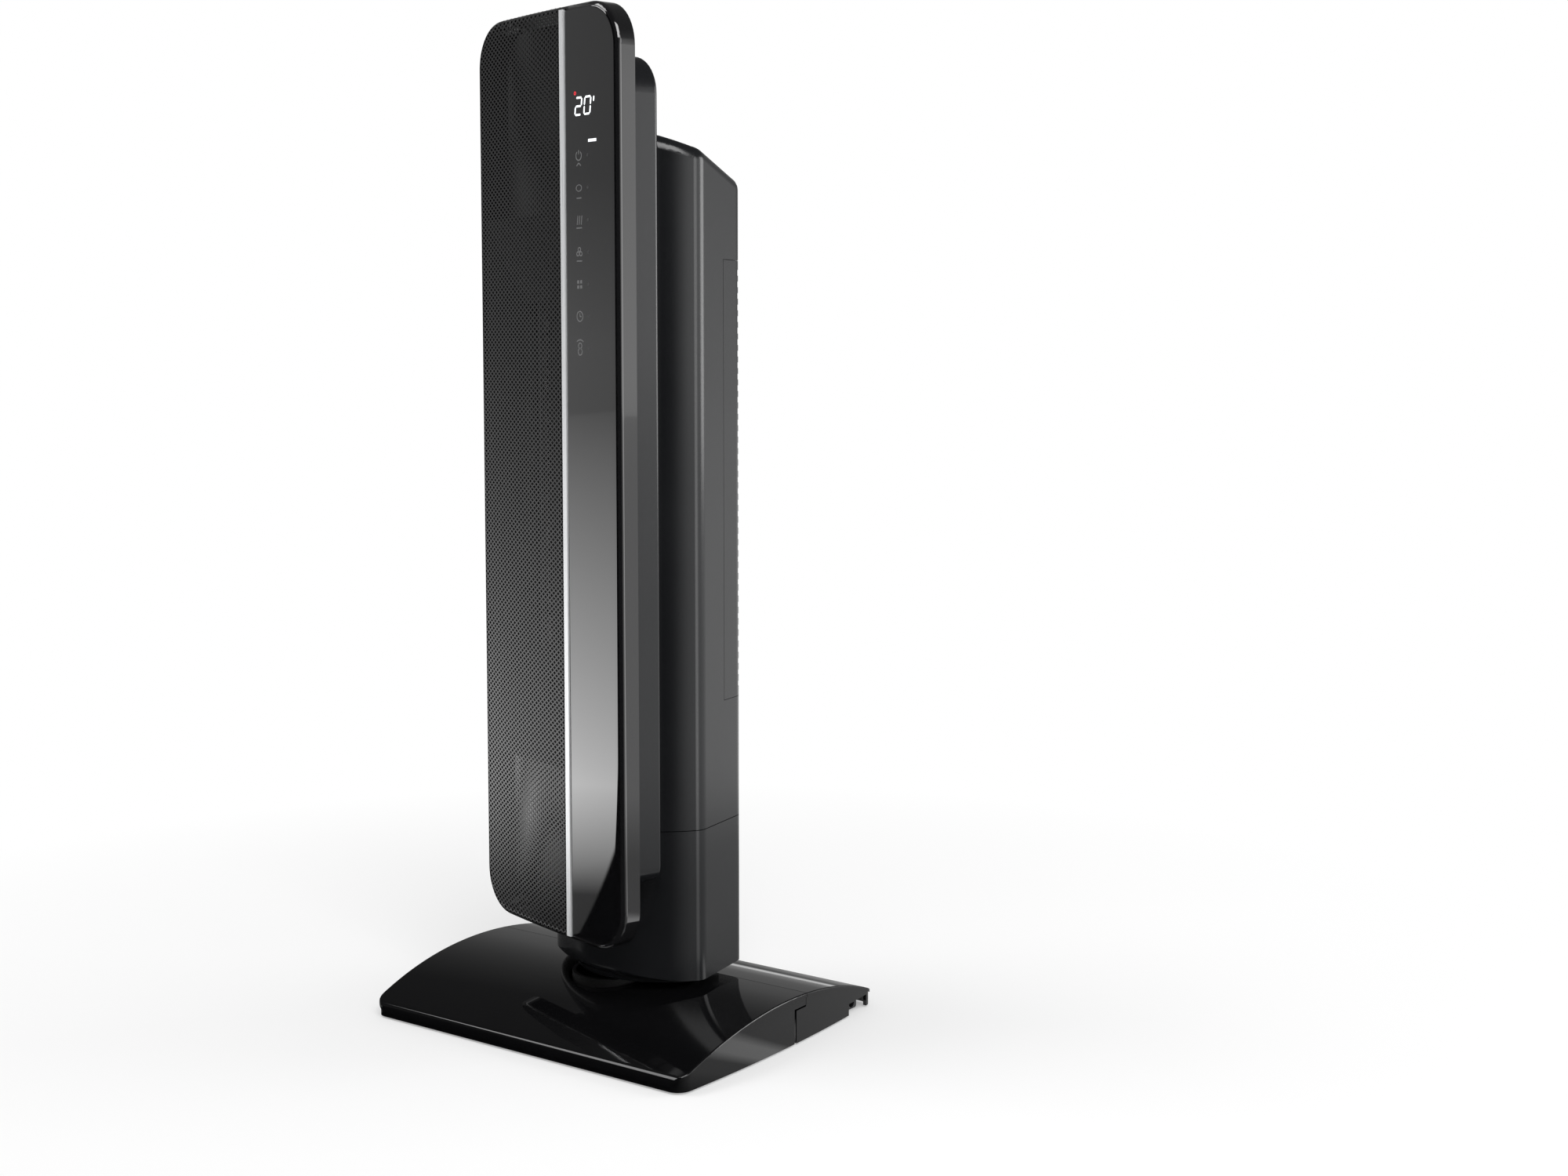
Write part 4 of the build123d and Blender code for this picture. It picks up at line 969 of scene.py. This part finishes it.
housingBack = towerBox("lower_housing")[1].y
housingPlaces = [
    (side * screwPlaces["sideways"], housingBack, height)
    for side in (-1, 1) for height in screwPlaces["heights"]
]
retainerLow, retainerHigh = towerBox("retaining_plate")
retainerReach = screwPlaces["retainerShare"] * (retainerHigh.x - retainerLow.x) / 2
retainerTurns = [math.tau * k / screwPlaces["retainerCount"] for k in range(screwPlaces["retainerCount"])]
retainerPlaces = [
    (retainerReach * math.cos(turn), retainerReach * math.sin(turn), retainerLow.z)
    for turn in retainerTurns
]
screwGroups = {
    "housingScrews": (housingPlaces, (0, 1, 0)),
    "retainerScrews": (retainerPlaces, (0, 0, -1)),
}
screwTree = makeScrewTree()
for name, (places, normal) in screwGroups.items():
    heads = grow(name, screwTree, screws, screwDiscs(name, places, normal))
    heads.data.transform(towerFrame)
    finishPiece(heads, "tower", "steel")
print("screws:", sum(len(places) for places, normal in screwGroups.values()))

# Marks on the mains switch

switchMarks = {
    "ringUp": 4.6 * mm,
    "ringRadius": 2.0 * mm,
    "bar": (6.6 * mm, 2.8 * mm),
    "proud": 0.06 * mm,
    "dropFrom": 0.2,
}


def settle(piece, name, proud):
    # drops every corner straight onto the face of a CAD node from behind
    under = BVHTree.FromObject(frame["nodes"][name], bpy.context.evaluated_depsgraph_get())
    for vertex in piece.data.vertices:
        start = towerFrame @ Vector((vertex.co.x, switchMarks["dropFrom"], vertex.co.z))
        spot = under.ray_cast(start, -rearward)[0]
        vertex.co = spot + rearward * (proud if vertex.co.y < 0 else -proud)
    piece.data.update()


def makeSwitchMarks():
    low, high = towerBox("switch_rocker")
    middle = (low.z + high.z) / 2
    shell = bmesh.new()
    ringPart(shell, 0, middle + switchMarks["ringUp"], switchMarks["ringRadius"])
    foot, top = switchMarks["bar"]
    stroke(shell, 0, middle - foot, 0, middle - top)
    marks = pieceFromShell("switchMarks", shell)
    settle(marks, "switch_rocker", switchMarks["proud"])
    recalculate(marks.data)
    return marks


finishPiece(makeSwitchMarks(), "rocker", "panel_black", printedInk("switchInk", (0.75, 0.75, 0.75)))
print("switch marked")

# Floor, lamps and surroundings

# pairs ending in Across, Back, Up or Edge say where a change of tone begins and where it ends
studio = {
    "floorHalf": 14.0,
    "shadowReach": 0.25,
    "whiteReach": 0.9,
    "nearWhite": 0.35,
    "tableGlow": 2.95,
    "tableFade": 0.65,
    "tableNearest": 0.3,
    "tableAcross": (-0.5, -0.1),
    "tableBack": (0.1, 0.5),
    "nearTable": (0.45, 1.0),
    "nearLevel": (0.05, 0.45),
    "nearAcross": (-0.2, 0.2),
    "cardLeft": (-0.614, 0.789),
    "cardLeftEdge": (-0.012, 0.0),
    "cardRight": (0.5, 1.0),
    "cardRightEdge": (-0.3, 0.05),
    "brightCard": 2.2,
    "brightTurn": -0.12,
    "brightHalf": 0.16,
    "brightCore": 0.4,
    "brightAcross": (0.1, 0.4),
    "brightUp": (0.3, 0.5),
    "diffuseAir": 0.5,
    "skylineAir": 0.42,
    "skylineUp": (0.0, 0.08),
    "lowAir": 0.25,
    "upperAir": 0.06,
    "overheadUp": (0.28, 0.6),
    "rightAir": 1.3,
    "rightAcross": (0.1, 0.7),
    "rightUp": (0.12, 0.36),
}
lampTarget = (0, 0, 0.4)
lamps = {
    "keyLamp": {"place": (1.6, -1.2, 2.2), "wide": 1.4, "tall": 1.4, "power": 40},
    "fillLamp": {"place": (-1.7, -1.2, 3.0), "wide": 1.6, "tall": 1.6, "power": 30},
    "rearLamp": {"place": (1.63, 1.47, 0.9), "wide": 1.1, "tall": 1.2, "power": 16},
}


def darkCard(tree, x, y, reach):
    # how far a direction from the object lies in the wedge of dark studio round the camera
    left, right = studio["cardLeft"], studio["cardRight"]
    onLeft = mathNode(tree, "MULTIPLY_ADD", x, left[0], mathNode(tree, "MULTIPLY", y, left[1]))
    onRight = mathNode(tree, "MULTIPLY_ADD", x, right[0], mathNode(tree, "MULTIPLY", y, right[1]))
    pastLeft = spread(tree, mathNode(tree, "DIVIDE", onLeft, reach), 1.0, 0.0, *studio["cardLeftEdge"])
    pastRight = spread(tree, mathNode(tree, "DIVIDE", onRight, reach), 1.0, 0.0, *studio["cardRightEdge"])
    return mathNode(tree, "MULTIPLY", pastLeft, pastRight)


def brightCard(tree, x, y, reach):
    # a narrow white card on the right, which draws light lines down the rounded edges
    turned = mathNode(tree, "SUBTRACT", mathNode(tree, "DIVIDE", y, reach), studio["brightTurn"])
    off = mathNode(tree, "ABSOLUTE", turned)
    half = studio["brightHalf"]
    lit = spread(tree, off, studio["brightCard"], 0.0, studio["brightCore"] * half, half)
    rightward = spread(tree, mathNode(tree, "DIVIDE", x, reach), 0.0, 1.0, *studio["brightAcross"])
    return mathNode(tree, "MULTIPLY", lit, rightward)


def makeFloor():
    shell = bmesh.new()
    reach = studio["floorHalf"]
    corners = ((-reach, -reach), (reach, -reach), (reach, reach), (-reach, reach))
    shell.faces.new([shell.verts.new((x, y, 0)) for x, y in corners])
    floor = pieceFromShell("studioFloor", shell)
    finish, shader, place = newFinish("paleFloor")
    tree = finish.node_tree
    colour = shades(tree, grain(tree, place, scale=2, detail=2), (0.9, 0.9, 0.9), (0.93, 0.93, 0.93))
    tree.links.new(colour, shader.inputs["Base Color"])
    shader.inputs["Roughness"].default_value = 0.9
    # white away from the object; a mirror sees a light table on its left, fading with distance,
    # and past the table's near edge a dark card
    ray = addNode(tree, "ShaderNodeLightPath")
    mirror = ray.outputs["Is Glossy Ray"]
    seen = mathNode(tree, "MAXIMUM", ray.outputs["Is Camera Ray"], mathNode(
        tree, "MAXIMUM", mirror, ray.outputs["Is Transmission Ray"]))
    away = addNode(tree, "ShaderNodeVectorMath", {0: place}, operation="LENGTH").outputs["Value"]
    white = mathNode(tree, "MAXIMUM", mirror, spread(
        tree, away, studio["nearWhite"], 1.0, studio["shadowReach"], studio["whiteReach"]))
    spot = addNode(tree, "ShaderNodeSeparateXYZ", {0: place})
    x, y = spot.outputs[0], spot.outputs[1]
    table = mathNode(tree, "DIVIDE", studio["tableGlow"], mathNode(
        tree, "POWER", mathNode(tree, "MAXIMUM", away, studio["tableNearest"]), studio["tableFade"]))
    leftward = mathNode(tree, "MULTIPLY", spread(tree, x, 1.0, 0.0, *studio["tableAcross"]),
                        spread(tree, y, 1.0, 0.0, *studio["tableBack"]))
    wide = mathNode(tree, "MULTIPLY_ADD", mathNode(tree, "SUBTRACT", table, 1.0), leftward, 1.0)
    near = spread(tree, x, *studio["nearLevel"], *studio["nearAcross"])
    lit = mathNode(tree, "MULTIPLY", wide, mathNode(
        tree, "MAXIMUM", near, spread(tree, away, 0.0, 1.0, *studio["nearTable"])))
    uncovered = mathNode(tree, "SUBTRACT", 1.0, darkCard(tree, x, y, away))
    mirrored = mathNode(tree, "ADD", mathNode(tree, "MULTIPLY", lit, uncovered),
                        mathNode(tree, "MULTIPLY", brightCard(tree, x, y, away), lit))
    level = addNode(tree, "ShaderNodeMix", {"Factor": mirror, "A": 1.0, "B": mirrored}, data_type="FLOAT")
    glow = addNode(tree, "ShaderNodeEmission", {"Color": (1, 1, 1, 1), "Strength": level.outputs["Result"]})
    mixed = addNode(tree, "ShaderNodeMixShader", {
        "Fac": mathNode(tree, "MULTIPLY", seen, white), 1: shader.outputs["BSDF"], 2: glow.outputs[0],
    })
    tree.links.new(mixed.outputs[0], tree.nodes["Material Output"].inputs["Surface"])
    floor.data.materials.append(finish)


def areaLamp(name, sizes):
    data = bpy.data.lights.new(name, "AREA")
    data.shape = "RECTANGLE"
    data.size = sizes["wide"]
    data.size_y = sizes["tall"]
    data.energy = sizes["power"]
    lamp = bpy.data.objects.new(name, data)
    bpy.context.scene.collection.objects.link(lamp)
    lamp.location = sizes["place"]
    aim = Vector(lampTarget) - Vector(sizes["place"])
    lamp.rotation_euler = aim.to_track_quat("-Z", "Y").to_euler()


def makeAir():
    # white behind the object; a mirror sees it grey along the skyline, dim overhead, pale on the right
    world = bpy.data.worlds.new("studioAir")
    bpy.context.scene.world = world
    world.use_nodes = True
    air = world.node_tree
    sky = air.nodes["Background"]
    sky.inputs["Color"].default_value = (1, 1, 1, 1)
    ray = addNode(air, "ShaderNodeLightPath")
    direction = addNode(air, "ShaderNodeTexCoord").outputs["Generated"]
    toward = addNode(air, "ShaderNodeSeparateXYZ", {0: direction})
    x, y, upward = toward.outputs
    skyline = spread(air, upward, studio["skylineAir"], studio["lowAir"], *studio["skylineUp"])
    overhead = spread(air, upward, 1.0, studio["upperAir"] / studio["lowAir"], *studio["overheadUp"])
    right = spread(air, x, 0.0, studio["rightAir"], *studio["rightAcross"])
    pale = mathNode(air, "MULTIPLY", right, spread(air, upward, 1.0, 0.0, *studio["rightUp"]))
    around = mathNode(air, "MULTIPLY_ADD", skyline, overhead, pale)
    uncovered = mathNode(air, "SUBTRACT", 1.0, darkCard(air, x, y, 1.0))
    lightCard = brightCard(air, x, y, 1.0)
    mirrored = mathNode(air, "MULTIPLY_ADD", around, uncovered, mathNode(
        air, "MULTIPLY", lightCard, spread(air, upward, 1.0, 0.0, *studio["brightUp"])))
    plain = addNode(air, "ShaderNodeMix", {
        "Factor": ray.outputs["Is Glossy Ray"], "A": studio["diffuseAir"], "B": mirrored,
    }, data_type="FLOAT")
    seen = mathNode(air, "MAXIMUM", ray.outputs["Is Camera Ray"], ray.outputs["Is Transmission Ray"])
    level = addNode(air, "ShaderNodeMix", {
        "Factor": seen, "A": plain.outputs["Result"], "B": 1.0,
    }, data_type="FLOAT")
    air.links.new(level.outputs["Result"], sky.inputs["Strength"])


makeFloor()
for name, sizes in lamps.items():
    areaLamp(name, sizes)
makeAir()
print("studio lit")
